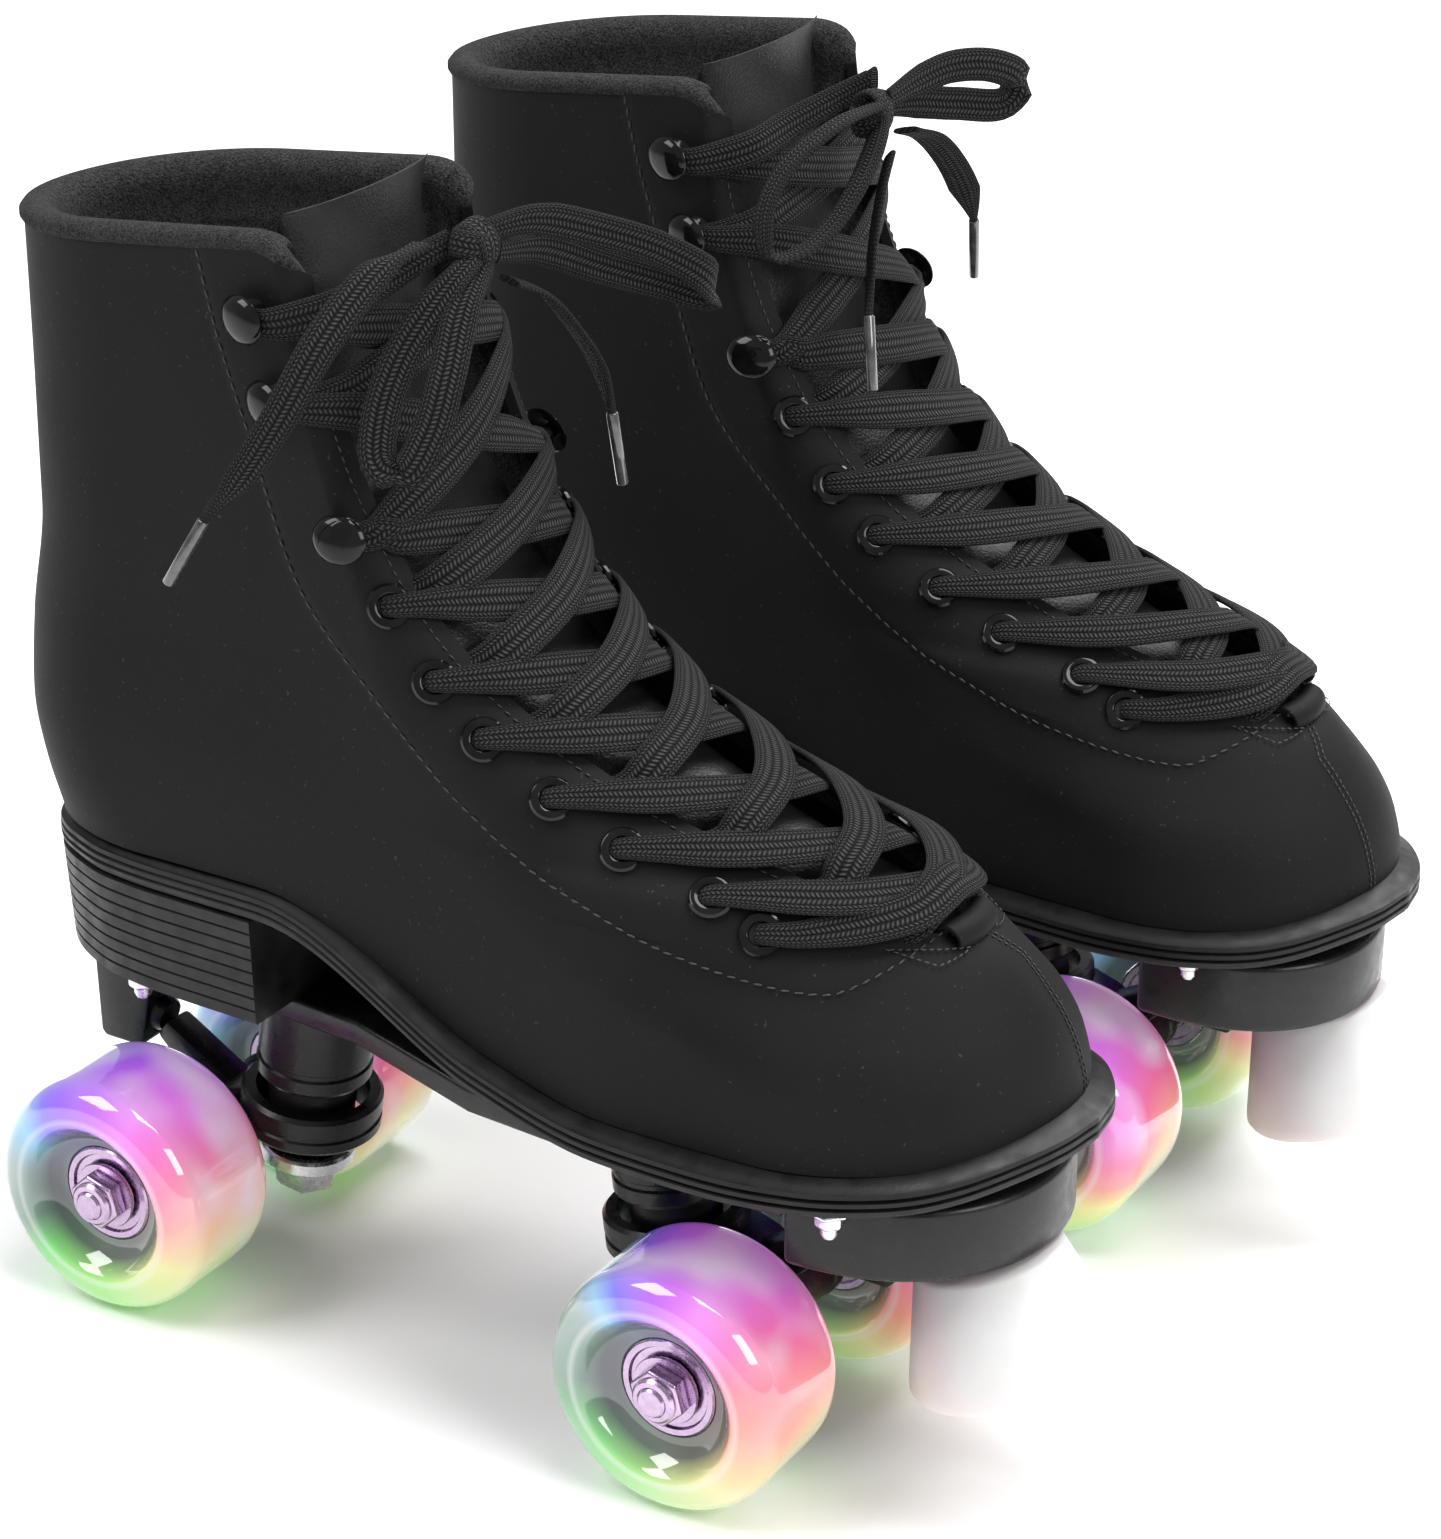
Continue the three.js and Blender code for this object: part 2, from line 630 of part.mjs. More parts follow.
function axle(end) {
  const nutOut = track / 2 + wheelWidth / 2 + 0.5;
  const nutIn = nutOut - axleNutLength;
  const profile = [[0, -nutOut], [axleRadius, -nutOut], [axleNutRadius, -nutOut + 1],
    [axleNutRadius, -nutIn], [axleRadius, -nutIn], [axleRadius, nutIn], [axleNutRadius, nutIn],
    [axleNutRadius, nutOut - 1], [axleRadius, nutOut], [0, nutOut]];
  return turned(profile, 8).translate(end * wheelBase / 2, 0, wheelRadius);
}

/** A wheel about its own middle, with a bowl-shaped hub face; one facet lies flat on the floor. */
function wheel() {
  const half = wheelWidth / 2;
  const outer = wheelRadius / Math.cos(Math.PI / wheelFacets);
  const bore = bearingRadius + gap;
  const face = [[bore, half - hubRecessDepth], [hubRecessRadius, half - hubRecessDepth + 2],
    [hubRecessRadius + 1, half], [outer - wheelLip, half], [outer, half - wheelLip]];
  const mirrored = face.map(([r, y]) => [r, -y]);
  const profile = [...face.reverse(), ...mirrored, face[0]];
  return turned(profile, wheelFacets).rotateY(Math.PI / wheelFacets);
}

/** The two bearings of a wheel with the spacer sleeve between them. */
function bearings() {
  const out = wheelWidth / 2 - hubRecessDepth - 1;
  const step = out - bearingWidth;
  const bore = axleRadius + gap;
  return turned([[bore, -out], [bearingRadius, -out], [bearingRadius, -step], [bore + 1.5, -step],
    [bore + 1.5, step], [bearingRadius, step], [bearingRadius, out], [bore, out], [bore, -out]], 8);
}

/** Puts a piece drawn upright, with its origin at the toe stop's top face, in place. */
function stopFrame(geometry) {
  return geometry.rotateY(-THREE.MathUtils.degToRad(stopTilt)).translate(stopTopX, 0, stopTopZ);
}

function toeStop() {
  return stopFrame(turnedUp([[0, -stopLength], [stopBottomRadius - 3, -stopLength],
    [stopBottomRadius, -stopLength + 2.5], [stopTopRadius, 0], [stemRadius + gap, 0],
    [stemRadius + gap, -8], [0, -8]], 20));
}

function toeStopStem() {
  return stopFrame(post(stemRadius, -8 + gap, stemLength, 16));
}

// ---- Assembly --------------------------------------------------------------------------------
const looks = {
  nubuck: { color: 0x141416, roughness: 0.85, metalness: 0 },
  fleece: { color: 0x2a2a2d, roughness: 1, metalness: 0 },
  leather: { color: 0x1a1a1c, roughness: 0.6, metalness: 0 },
  lace: { color: 0x1d1d1f, roughness: 0.9, metalness: 0 },
  rubber: { color: 0x111111, roughness: 0.7, metalness: 0 },
  plastic: { color: 0x0d0d0e, roughness: 0.4, metalness: 0 },
  steel: { color: 0xb9b9c2, roughness: 0.25, metalness: 1 },
  urethane: { color: 0xe8c8f4, roughness: 0.15, metalness: 0 },
  white: { color: 0xf2f2f0, roughness: 0.35, metalness: 0 },
};

const group = new THREE.Group();

/** Adds a named mesh in the right skate's frame, mirrored when it belongs to the left foot. */
function add(parent, foot, name, geometry, look, at = [0, 0, 0]) {
  let shape = geometry.clone().translate(...at);
  if (foot === 'left') shape = welded(shape.scale(1, -1, 1));
  const mesh = new THREE.Mesh(shape, new THREE.MeshStandardMaterial(looks[look]));
  mesh.name = `${foot}_${name}`;
  parent.add(mesh);
}

function addBoot(skate, foot) {
  add(skate, foot, 'upper', upper(), 'nubuck');
  add(skate, foot, 'lining', lining(), 'fleece');
  add(skate, foot, 'tongue', tongue(), 'leather');
  add(skate, foot, 'insole', insole(), 'fleece');
  add(skate, foot, 'outsole', outsole(), 'rubber');
  add(skate, foot, 'heel_block', heelBlock(), 'rubber');
  add(skate, foot, 'lacing', lacing(foot), 'lace');
  add(skate, foot, 'lace_bow', laceBow(foot), 'lace');
  add(skate, foot, 'lace_tail_a', freeLace(foot, 'tail_a', 10), 'lace');
  add(skate, foot, 'lace_tail_b', freeLace(foot, 'tail_b', 10), 'lace');
}

function addTruck(skate, foot, place, end) {
  add(skate, foot, `${place}_hanger`, hanger(end), 'plastic');
  add(skate, foot, `${place}_kingpin`, kingpin(end), 'steel');
  add(skate, foot, `${place}_cushion`, cushion(end), 'rubber');
  add(skate, foot, `${place}_axle`, axle(end), 'steel');
  for (const [hand, side] of [['inner', 1], ['outer', -1]]) {
    const at = [end * wheelBase / 2, side * track / 2, wheelRadius];
    add(skate, foot, `${place}_${hand}_wheel`, wheel(), 'urethane', at);
    add(skate, foot, `${place}_${hand}_bearings`, bearings(), 'steel', at);
  }
}

for (const foot of ['right', 'left']) {
  const skate = new THREE.Group();
  addBoot(skate, foot);
  add(skate, foot, 'plate', plate(), 'plastic');
  add(skate, foot, 'toe_stop', toeStop(), 'white');
  add(skate, foot, 'toe_stop_stem', toeStopStem(), 'steel');
  for (const [place, end] of trucks()) addTruck(skate, foot, place, end);
  if (foot === 'left') skate.position.set(leftForward, skateSpacing, 0);
  group.add(skate);
}

// The origin is on the floor in the middle of the pair, the laces not counted.
const bounds = new THREE.Box3();
group.updateMatrixWorld(true);
group.traverse((mesh) => {
  if (mesh.isMesh && !mesh.name.includes('lac')) bounds.expandByObject(mesh, true);
});
const middle = bounds.getCenter(new THREE.Vector3());
group.position.set(-middle.x, -middle.y, -bounds.min.z);

export default group;
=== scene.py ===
# %% [markdown]
# # A pair of quad roller skates
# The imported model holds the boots' rough forms, the plates, trucks, wheels and every moving joint.
# Here each visible piece gets its finished shape and its material, in the same place.

# %% Load the frame
import functools
import math

import bpy
from mathutils import Matrix, Vector


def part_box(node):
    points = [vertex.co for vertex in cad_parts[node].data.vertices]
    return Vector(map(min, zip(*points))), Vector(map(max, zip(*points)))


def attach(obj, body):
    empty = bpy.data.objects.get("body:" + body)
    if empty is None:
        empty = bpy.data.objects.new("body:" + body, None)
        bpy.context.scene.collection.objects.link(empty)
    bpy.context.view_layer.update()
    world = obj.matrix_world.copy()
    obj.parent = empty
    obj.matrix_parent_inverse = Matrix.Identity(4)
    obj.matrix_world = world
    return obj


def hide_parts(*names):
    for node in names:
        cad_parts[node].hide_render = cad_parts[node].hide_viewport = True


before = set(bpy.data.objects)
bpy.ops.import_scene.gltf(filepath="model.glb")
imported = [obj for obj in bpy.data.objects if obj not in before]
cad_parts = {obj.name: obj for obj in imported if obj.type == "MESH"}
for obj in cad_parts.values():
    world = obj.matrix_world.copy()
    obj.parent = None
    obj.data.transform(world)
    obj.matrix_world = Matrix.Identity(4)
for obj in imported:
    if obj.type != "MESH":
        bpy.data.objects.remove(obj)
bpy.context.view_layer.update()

MM = 0.001

# %% [markdown]
# Each skate has its own frame: on the floor, midway between its axles, +X to the toes, in
# millimetres. The left skate is the right one mirrored, so y is counted towards the big toe.

# %% Skate frames
def middle(node):
    low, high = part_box(node)
    return (Vector(low) + Vector(high)) / 2


def skate_origin(foot):
    front, rear = middle(f"{foot}_front_axle"), middle(f"{foot}_rear_axle")
    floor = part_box(f"{foot}_front_outer_wheel")[0][2]
    return Vector(((front.x + rear.x) / 2, front.y, floor))


ORIGIN = {foot: skate_origin(foot) for foot in ("right", "left")}
AXLE_X = (middle("right_front_axle").x - ORIGIN["right"].x) / MM
AXLE_Z = (middle("right_front_axle").z - ORIGIN["right"].z) / MM
WHEEL_Y = abs(middle("right_front_outer_wheel").y - ORIGIN["right"].y) / MM
TOWARDS_BIG_TOE = {"right": 1, "left": -1}


def place(foot, point):
    """A point of a skate's own frame, in millimetres, as a point of the whole frame in metres."""
    x, y, z = point
    return ORIGIN[foot] + Vector((x, y * TOWARDS_BIG_TOE[foot], z)) * MM


print("skate origins", {foot: [round(v, 4) for v in at] for foot, at in ORIGIN.items()})

# %% [markdown]
# ## Camera
# A long lens stands off to the right of the toes and looks down on the pair. Its place is given
# from the right skate's origin, and its direction by three angles in radians.

# %% Camera
CAMERA_FROM_SKATE = (450.2, -641.0, 494.1)
CAMERA_AZIMUTH, CAMERA_ELEVATION, CAMERA_ROLL = 0.5495, 0.4362, 0.0046
SENSOR, LENS = 36, 97.95
camera_data = bpy.data.cameras.new("camera")
camera_data.sensor_width = SENSOR
camera_data.lens = LENS
camera_data.clip_start = 0.05
camera_data.clip_end = 20
camera = bpy.data.objects.new("camera", camera_data)
bpy.context.scene.collection.objects.link(camera)
away = Vector((math.sin(CAMERA_AZIMUTH) * math.cos(CAMERA_ELEVATION),
               -math.cos(CAMERA_AZIMUTH) * math.cos(CAMERA_ELEVATION), math.sin(CAMERA_ELEVATION)))
level = Vector((math.cos(CAMERA_AZIMUTH), math.sin(CAMERA_AZIMUTH), 0))
upward = away.cross(level)
right_side = level * math.cos(CAMERA_ROLL) + upward * math.sin(CAMERA_ROLL)
up_side = away.cross(right_side)
turn = Matrix((right_side, up_side, away)).transposed().to_4x4()
camera.matrix_world = Matrix.Translation(place("right", CAMERA_FROM_SKATE)) @ turn
bpy.context.scene.camera = camera

# %% [markdown]
# ## Shader maths
# A socket wrapped in a small class can be added and multiplied like a number; each operation
# adds a Math node. Every other node comes from one method.

# %% Node helpers
class Wire:
    """A value in a material, with the node tree that it belongs to."""

    def __init__(self, shader, socket):
        self.shader, self.socket = shader, socket

    def _math(self, operation, *values, clamp=False):
        return self.shader.node("Math", {"operation": operation, "use_clamp": clamp},
                                dict(enumerate(values)))

    def __add__(self, other):
        return self._math("ADD", self, other)

    def __sub__(self, other):
        return self._math("SUBTRACT", self, other)

    def __mul__(self, other):
        return self._math("MULTIPLY", self, other)

    def __rsub__(self, other):
        return self._math("SUBTRACT", other, self)

    def __truediv__(self, other):
        return self._math("DIVIDE", self, other)

    __radd__, __rmul__ = __add__, __mul__

    def sin(self):
        return self._math("SINE", self)

    def abs(self):
        return self._math("ABSOLUTE", self)

    def floor(self):
        return self._math("FLOOR", self)

    def power(self, exponent):
        return self._math("POWER", self, exponent)

    def clamped(self):
        return self._math("ADD", self, 0.0, clamp=True)

    def band(self, low, high):
        """0 below low, 1 above high, and a straight rise between."""
        return self._math("MULTIPLY", self - low, 1 / (high - low), clamp=True)


class Shader:
    """A material with a Principled shader, and one method that adds any node."""

    def __init__(self, name, **constants):
        self.material = bpy.data.materials.new(name)
        self.material.use_nodes = True
        self.tree = self.material.node_tree
        self.surface = self.tree.nodes["Principled BSDF"]
        for socket, value in constants.items():
            self.surface.inputs[socket.replace("_", " ")].default_value = value

    def node(self, kind, settings=None, inputs=None, output=0):
        made = self.tree.nodes.new("ShaderNode" + kind)
        for key, value in (settings or {}).items():
            if key == "stops":
                ramp = made.color_ramp
                while len(ramp.elements) < len(value):
                    ramp.elements.new(0.5)
                for stop, (at, colour) in zip(ramp.elements, value):
                    stop.position, stop.color = at, (*colour, 1)
            else:
                setattr(made, key, value)
        for key, value in (inputs or {}).items():
            self.feed(made.inputs[key], value)
        return Wire(self, made.outputs[output])

    def feed(self, socket, value):
        if isinstance(value, Wire):
            self.tree.links.new(value.socket, socket)
        else:
            socket.default_value = value

    def set(self, socket, value):
        self.feed(self.surface.inputs[socket], value)

    def place(self):
        return self.node("TexCoord", output=3)

    def noise(self, scale, detail=3.0, rough=0.5):
        return self.node("TexNoise", None, {"Vector": self.place(), "Scale": scale,
                                            "Detail": detail, "Roughness": rough})

    def ramp(self, value, stops):
        return self.node("ValToRGB", {"stops": stops}, {0: value})

    def blend(self, factor, first, second):
        return self.node("Mix", {"data_type": "RGBA"}, {0: factor, 6: first, 7: second}, 2)

    def bump(self, height, strength, distance):
        self.set("Normal", self.node("Bump", None, {"Height": height, "Strength": strength,
                                                    "Distance": distance}))


def grey(value, tint=(1, 1, 1)):
    return (value * tint[0], value * tint[1], value * tint[2], 1)


# %% [markdown]
# ## Materials of the boot
# The upper is a nubuck-like synthetic: nearly black, very matt, with a fine nap and a few pale
# specks of dust. The lining is a short fleece, so its surface is a soft noise with a sheen.

# %% Boot materials
def nubuck():
    s = Shader("nubuck", Roughness=0.62, Sheen_Weight=0.012, Sheen_Roughness=0.4)
    s.surface.inputs["Specular IOR Level"].default_value = 0.1
    cloud = s.noise(28, 4)
    nap = s.noise(2600, 2)
    speck = s.noise(900, 1).band(0.735, 0.76)
    shade = s.blend(cloud.band(0.35, 0.7), grey(0.0055), grey(0.0085, (1, 1, 1.02)))
    s.set("Base Color", s.blend(speck * 0.3, shade, grey(0.07)))
    s.set("Roughness", cloud.band(0.3, 0.7) * 0.12 + 0.56)
    s.bump(nap * 0.7 + s.noise(420, 2) * 0.6, 0.22, 0.0004)
    return s.material


def fleece():
    s = Shader("fleece", Roughness=1.0, Sheen_Weight=0.05, Sheen_Roughness=0.6)
    s.surface.inputs["Specular IOR Level"].default_value = 0.1
    tuft = s.noise(1900, 2, rough=0.75)
    clump = s.noise(320, 2)
    tone = (tuft * 0.9 + clump * 0.15).band(0.40, 0.68)
    s.set("Base Color", s.blend(tone, grey(0.0015), grey(0.045, (1, 1, 1.08))))
    s.bump(tuft + clump * 0.4, 1.0, 0.0014)
    return s.material


def leather(name, dark, light, rough):
    s = Shader(name, Roughness=rough)
    s.surface.inputs["Specular IOR Level"].default_value = 0.3
    cell = s.node("TexVoronoi", {"feature": "DISTANCE_TO_EDGE"},
                  {"Vector": s.place(), "Scale": 900.0})
    tone = s.noise(60, 3).band(0.35, 0.7)
    s.set("Base Color", s.blend(tone, grey(dark), grey(light)))
    s.bump(cell.band(0.0, 0.25), 0.25, 0.0002)
    return s.material


def thread():
    s = Shader("thread", Roughness=0.6)
    s.set("Base Color", s.blend(s.noise(3000, 1).band(0.4, 0.6), grey(0.006), grey(0.03)))
    return s.material


NUBUCK, FLEECE = nubuck(), fleece()
TONGUE = leather("tongue_leather", 0.009, 0.015, 0.42)
EDGE = leather("cut_edge", 0.006, 0.009, 0.75)
THREAD = thread()

# %% [markdown]
# ## Braided lace
# A flat lace is a tube of braid pressed flat. Its face shows columns of slanting stitches that
# lean left and right in turn. The pattern reads the lace's own UV map: u counts columns across
# the width and v counts stitches along the length.

# %% Lace material
COLUMNS, STITCH = 11, 0.00095


def lace():
    s = Shader("lace", Roughness=0.75, Sheen_Weight=0.03, Sheen_Roughness=0.4)
    uv = s.node("UVMap", {"uv_map": "braid"})
    split = s.node("SeparateXYZ", None, {0: uv})
    across = split
    along_it = Wire(s, split.socket.node.outputs[1])
    column = across.floor()
    lean = (column * math.pi * 0.5).sin().abs() * 2.0 - 1.0
    within = across - column
    ridge = (within * math.pi).sin()
    wave = ((along_it + lean * within * 0.75) * math.tau).sin() * 0.5 + 0.5
    height = (ridge.power(0.9) * (wave * 0.8 + 0.2)).clamped()
    fibre = s.noise(5200, 2).band(0.35, 0.65)
    s.surface.inputs["Specular IOR Level"].default_value = 0.12
    # Painted light from the braid's height: the stitch tops get a painted highlight and the gaps
    # between them painted shade.
    s.set("Base Color", s.blend((height.power(1.9) * (fibre * 0.5 + 0.75)).clamped(), grey(0.0006),
                                grey(0.07, (1, 1, 1.02))))
    s.bump(height + fibre * 0.12, 1.0, 0.0009)
    return s.material


LACE = lace()

# %% [markdown]
# ## Hard materials
# Rubber, moulded nylon, bright plated steel, glossy black eyelets, clear lace tips, and the
# milky toe stop.

# %% Hard materials
def rubber():
    s = Shader("rubber", Roughness=0.5)
    s.surface.inputs["Specular IOR Level"].default_value = 0.3
    s.set("Base Color", s.blend(s.noise(90, 4).band(0.35, 0.7), grey(0.003), grey(0.006)))
    s.set("Roughness", s.noise(240, 3).band(0.3, 0.7) * 0.2 + 0.38)
    s.bump(s.noise(1500, 2), 0.12, 0.0003)
    return s.material


def nylon():
    s = Shader("nylon", Roughness=0.3)
    s.surface.inputs["Specular IOR Level"].default_value = 0.3
    s.set("Base Color", s.blend(s.noise(70, 3).band(0.35, 0.7), grey(0.004), grey(0.008)))
    s.set("Roughness", s.noise(300, 3).band(0.3, 0.7) * 0.16 + 0.22)
    s.bump(s.noise(1100, 2), 0.08, 0.0003)
    return s.material


def plated(name, colour, rough):
    s = Shader(name, Metallic=1.0, Roughness=rough)
    scratch = s.noise(700, 4, rough=0.7).band(0.35, 0.75)
    s.set("Base Color", s.blend(scratch, (*[c * 0.75 for c in colour], 1), (*colour, 1)))
    s.set("Roughness", scratch * 0.2 + rough)
    return s.material


def enamel():
    s = Shader("black_enamel", Roughness=0.1, Coat_Weight=0.1)
    s.surface.inputs["Specular IOR Level"].default_value = 0.2
    s.surface.inputs["Coat Roughness"].default_value = 0.04
    s.set("Base Color", s.blend(s.noise(200, 2).band(0.4, 0.6), grey(0.003), grey(0.006)))
    return s.material


def clear_tip():
    s = Shader("clear_tip", Roughness=0.1, Coat_Weight=1.0)
    # The paler patches in the base colour are painted highlight streaks.
    painted_highlight_streak = s.noise(260, 3).band(0.35, 0.65)
    s.set("Base Color", s.blend(painted_highlight_streak, grey(0.02), grey(0.075)))
    return s.material


def milky():
    s = Shader("milky", Roughness=0.33, Subsurface_Weight=0.35)
    s.surface.inputs["Subsurface Scale"].default_value = 0.01
    s.set("Base Color", s.blend(s.noise(40, 3).band(0.3, 0.7), grey(0.6), grey(0.68)))
    s.set("Roughness", s.noise(350, 3).band(0.3, 0.7) * 0.12 + 0.28)
    return s.material


RUBBER, NYLON = rubber(), nylon()
STEEL = plated("steel", (0.78, 0.78, 0.8), 0.18)
TINTED = plated("tinted_steel", (0.6, 0.45, 0.64), 0.16)
ENAMEL, TIP, MILKY = enamel(), clear_tip(), milky()

# %% [markdown]
# ## Light-up wheels
# The wheels are clear cast urethane with lamps inside that run through the rainbow. The colour
# depends on where a point lies around and across its own wheel, so each wheel's mesh carries its
# points, in metres from the wheel's middle, in an attribute. The dish round the hub is darkened with
# painted shade, the middle of the tread is milkier, and a painted highlight runs round the face's
# lip.

# %% Wheel material
RAINBOW = [(0.0, (1.0, 0.36, 0.28)), (0.07, (1.0, 0.18, 0.40)), (0.16, (0.92, 0.24, 0.95)),
           (0.26, (0.52, 0.14, 1.0)), (0.35, (0.20, 0.16, 1.0)), (0.42, (0.25, 0.62, 0.92)),
           (0.49, (0.30, 0.42, 0.38)), (0.61, (0.18, 0.34, 0.24)), (0.71, (0.22, 0.78, 0.20)),
           (0.84, (0.50, 0.92, 0.28)), (0.93, (0.92, 0.88, 0.36)), (1.0, (1.0, 0.36, 0.28))]


SHADED_DISH_RADII, LIP_RADIUS, TREAD_RADII = (0.0150, 0.0182), 0.0195, (0.014, 0.026)
TREAD_EDGE = (0.006, 0.013)
TURN_PER_METRE = 1.5


def urethane():
    s = Shader("urethane", Roughness=0.08, Coat_Weight=1.0)
    s.surface.inputs["Coat Roughness"].default_value = 0.03
    at = s.node("Attribute", {"attribute_name": "from_hub"}, None, 1)
    split = s.node("SeparateXYZ", None, {0: at})
    x, y, z = (Wire(s, split.socket.node.outputs[i]) for i in range(3))
    drift, cloud = s.noise(24, 1), s.noise(52, 1)
    angle = s.node("Math", {"operation": "ARCTAN2"}, {0: z, 1: x})
    share = angle / math.tau + drift * 0.3 - 0.15 - y * TURN_PER_METRE + 1.0
    share = share - share.floor()
    hue = s.ramp(share, RAINBOW)
    radius = (x * x + z * z).power(0.5)
    middle_of_tread = 1.0 - y.abs().band(*TREAD_EDGE)
    milk = cloud.band(0.40, 0.62) * radius.band(*TREAD_RADII) * (middle_of_tread * 0.45 + 0.25)
    colour = s.blend(milk, hue, (0.93, 0.82, 0.95, 1))
    # Painted highlight: a thin pale ring along the face's lip, in both the base and the emission
    # colour.
    ring = (1.0 - ((radius - LIP_RADIUS) * 900).abs()).clamped() * 0.35
    colour = s.blend(ring, colour, (0.98, 0.94, 1.0, 1))
    # Painted shade: the dish round the hub is darkened towards a dark grey-green and purple, in both
    # the base and the emission colour.
    dish = 1.0 - radius.band(*SHADED_DISH_RADII)
    depth = s.blend(cloud.band(0.35, 0.65), (0.03, 0.045, 0.04, 1), (0.13, 0.12, 0.16, 1))
    deep = s.blend(dish * 0.9, colour, depth)
    s.set("Base Color", s.blend(0.5, deep, grey(0.01)))
    s.set("Emission Color", deep)
    s.surface.inputs["Emission Strength"].default_value = 0.35
    return s.material


URETHANE = urethane()
print("materials", len(bpy.data.materials))

# %% [markdown]
# ## Working the way a hand does
# Blender's operators act on whatever is selected, so every step first selects one piece alone.
# Faces are then chosen by where they are, edited, and the result is finished with modifiers.

# %% Modelling helpers
def alone(piece):
    if bpy.context.object and bpy.context.object.mode != "OBJECT":
        bpy.ops.object.mode_set(mode="OBJECT")
    bpy.ops.object.select_all(action="DESELECT")
    piece.select_set(True)
    bpy.context.view_layer.objects.active = piece
    return piece


def started(name):
    """Names the primitive that has just been added."""
    piece = bpy.context.object
    piece.name = piece.data.name = name
    return piece


def pick_faces(piece, test):
    """Opens a piece in edit mode with only the faces chosen whose middle and normal pass."""
    alone(piece)
    bpy.ops.object.mode_set(mode="EDIT")
    bpy.ops.mesh.select_mode(type="FACE")
    bpy.ops.mesh.select_all(action="DESELECT")
    bpy.ops.object.mode_set(mode="OBJECT")
    for face in piece.data.polygons:
        face.select = test(face.center, face.normal)
    bpy.ops.object.mode_set(mode="EDIT")


def tidy_faces(piece, distance=2e-6):
    """Merges doubled points and turns every face outwards."""
    alone(piece)
    bpy.ops.object.mode_set(mode="EDIT")
    bpy.ops.mesh.select_all(action="SELECT")
    bpy.ops.mesh.remove_doubles(threshold=distance)
    bpy.ops.mesh.normals_make_consistent(inside=False)
    bpy.ops.object.mode_set(mode="OBJECT")


def apply_modifier(piece, kind, **settings):
    alone(piece)
    modifier = piece.modifiers.new(kind.lower(), kind)
    for key, value in settings.items():
        setattr(modifier, key, value)
    bpy.ops.object.modifier_apply(modifier=modifier.name)


def soften(piece, width, segments=2, angle=32):
    apply_modifier(piece, "BEVEL", width=width * MM, segments=segments, limit_method="ANGLE",
                   angle_limit=math.radians(angle))


def finished(piece, material, smooth=38):
    """Puts a piece's place into its mesh, smooths its shading and gives it its material."""
    alone(piece)
    bpy.ops.object.transform_apply(location=True, rotation=True, scale=True)
    bpy.ops.object.shade_smooth_by_angle(angle=math.radians(smooth))
    if not piece.data.materials:
        piece.data.materials.append(material)
    return piece


def together(name, pieces):
    """Joins finished pieces into one, keeping each one's material."""
    alone(pieces[0])
    for piece in pieces[1:]:
        piece.select_set(True)
    bpy.ops.object.join()
    return started(name)


print("helpers ready")

# %% [markdown]
# A lace, a seam or an outline is a line of points. These few functions measure such a line and
# walk along it evenly.

# %% Lines
def mixed(a, b, start, end, at):
    return (a * (end - at) + b * (at - start)) / (end - start)


def spline(points, count):
    """Evenly spaced points on a smooth curve through the given ones (centripetal form)."""
    knots = [Vector(p) for p in points]
    ends = [knots[0] * 2 - knots[1]] + knots + [knots[-1] * 2 - knots[-2]]
    fine = []
    for i in range(1, len(ends) - 2):
        p = ends[i - 1:i + 3]
        t = [0.0]
        for a, b in zip(p, p[1:]):
            t.append(t[-1] + max(1e-9, (b - a).length) ** 0.5)
        for step in range(12):
            at = t[1] + (t[2] - t[1]) * step / 12
            a = [mixed(p[k], p[k + 1], t[k], t[k + 1], at) for k in range(3)]
            b = [mixed(a[k], a[k + 1], t[k], t[k + 2], at) for k in range(2)]
            fine.append(mixed(b[0], b[1], t[1], t[2], at))
    fine.append(knots[-1])
    return evenly(fine, count)


def line_length(points):
    return sum((b - a).length for a, b in zip(points, points[1:]))


def evenly(points, count):
    """Points at equal steps along a line of straight pieces."""
    total, walked, i, result = line_length(points), 0.0, 0, []
    for k in range(count):
        want = total * k / (count - 1)
        while i < len(points) - 2 and walked + (points[i + 1] - points[i]).length < want:
            walked += (points[i + 1] - points[i]).length
            i += 1
        span = (points[i + 1] - points[i]).length or 1e-9
        result.append(points[i].lerp(points[i + 1], min(1.0, (want - walked) / span)))
    return result


def tangents(points):
    last = len(points) - 1
    return [(points[min(last, i + 1)] - points[max(0, i - 1)]).normalized()
            for i in range(last + 1)]


# %% [markdown]
# ## A flat lace from a tube
# A braided lace is a tube pressed flat, with softly rounded edges. A grid primitive is wrapped round
# into the tube; its rings are then carried to the places, directions and widths of the real lace,
# and its UV map keeps count of the braid's columns and stitches.

# %% Lace tube
AROUND = 16
EDGE_SQUARENESS, FACE_SQUARENESS = 0.62, 0.8


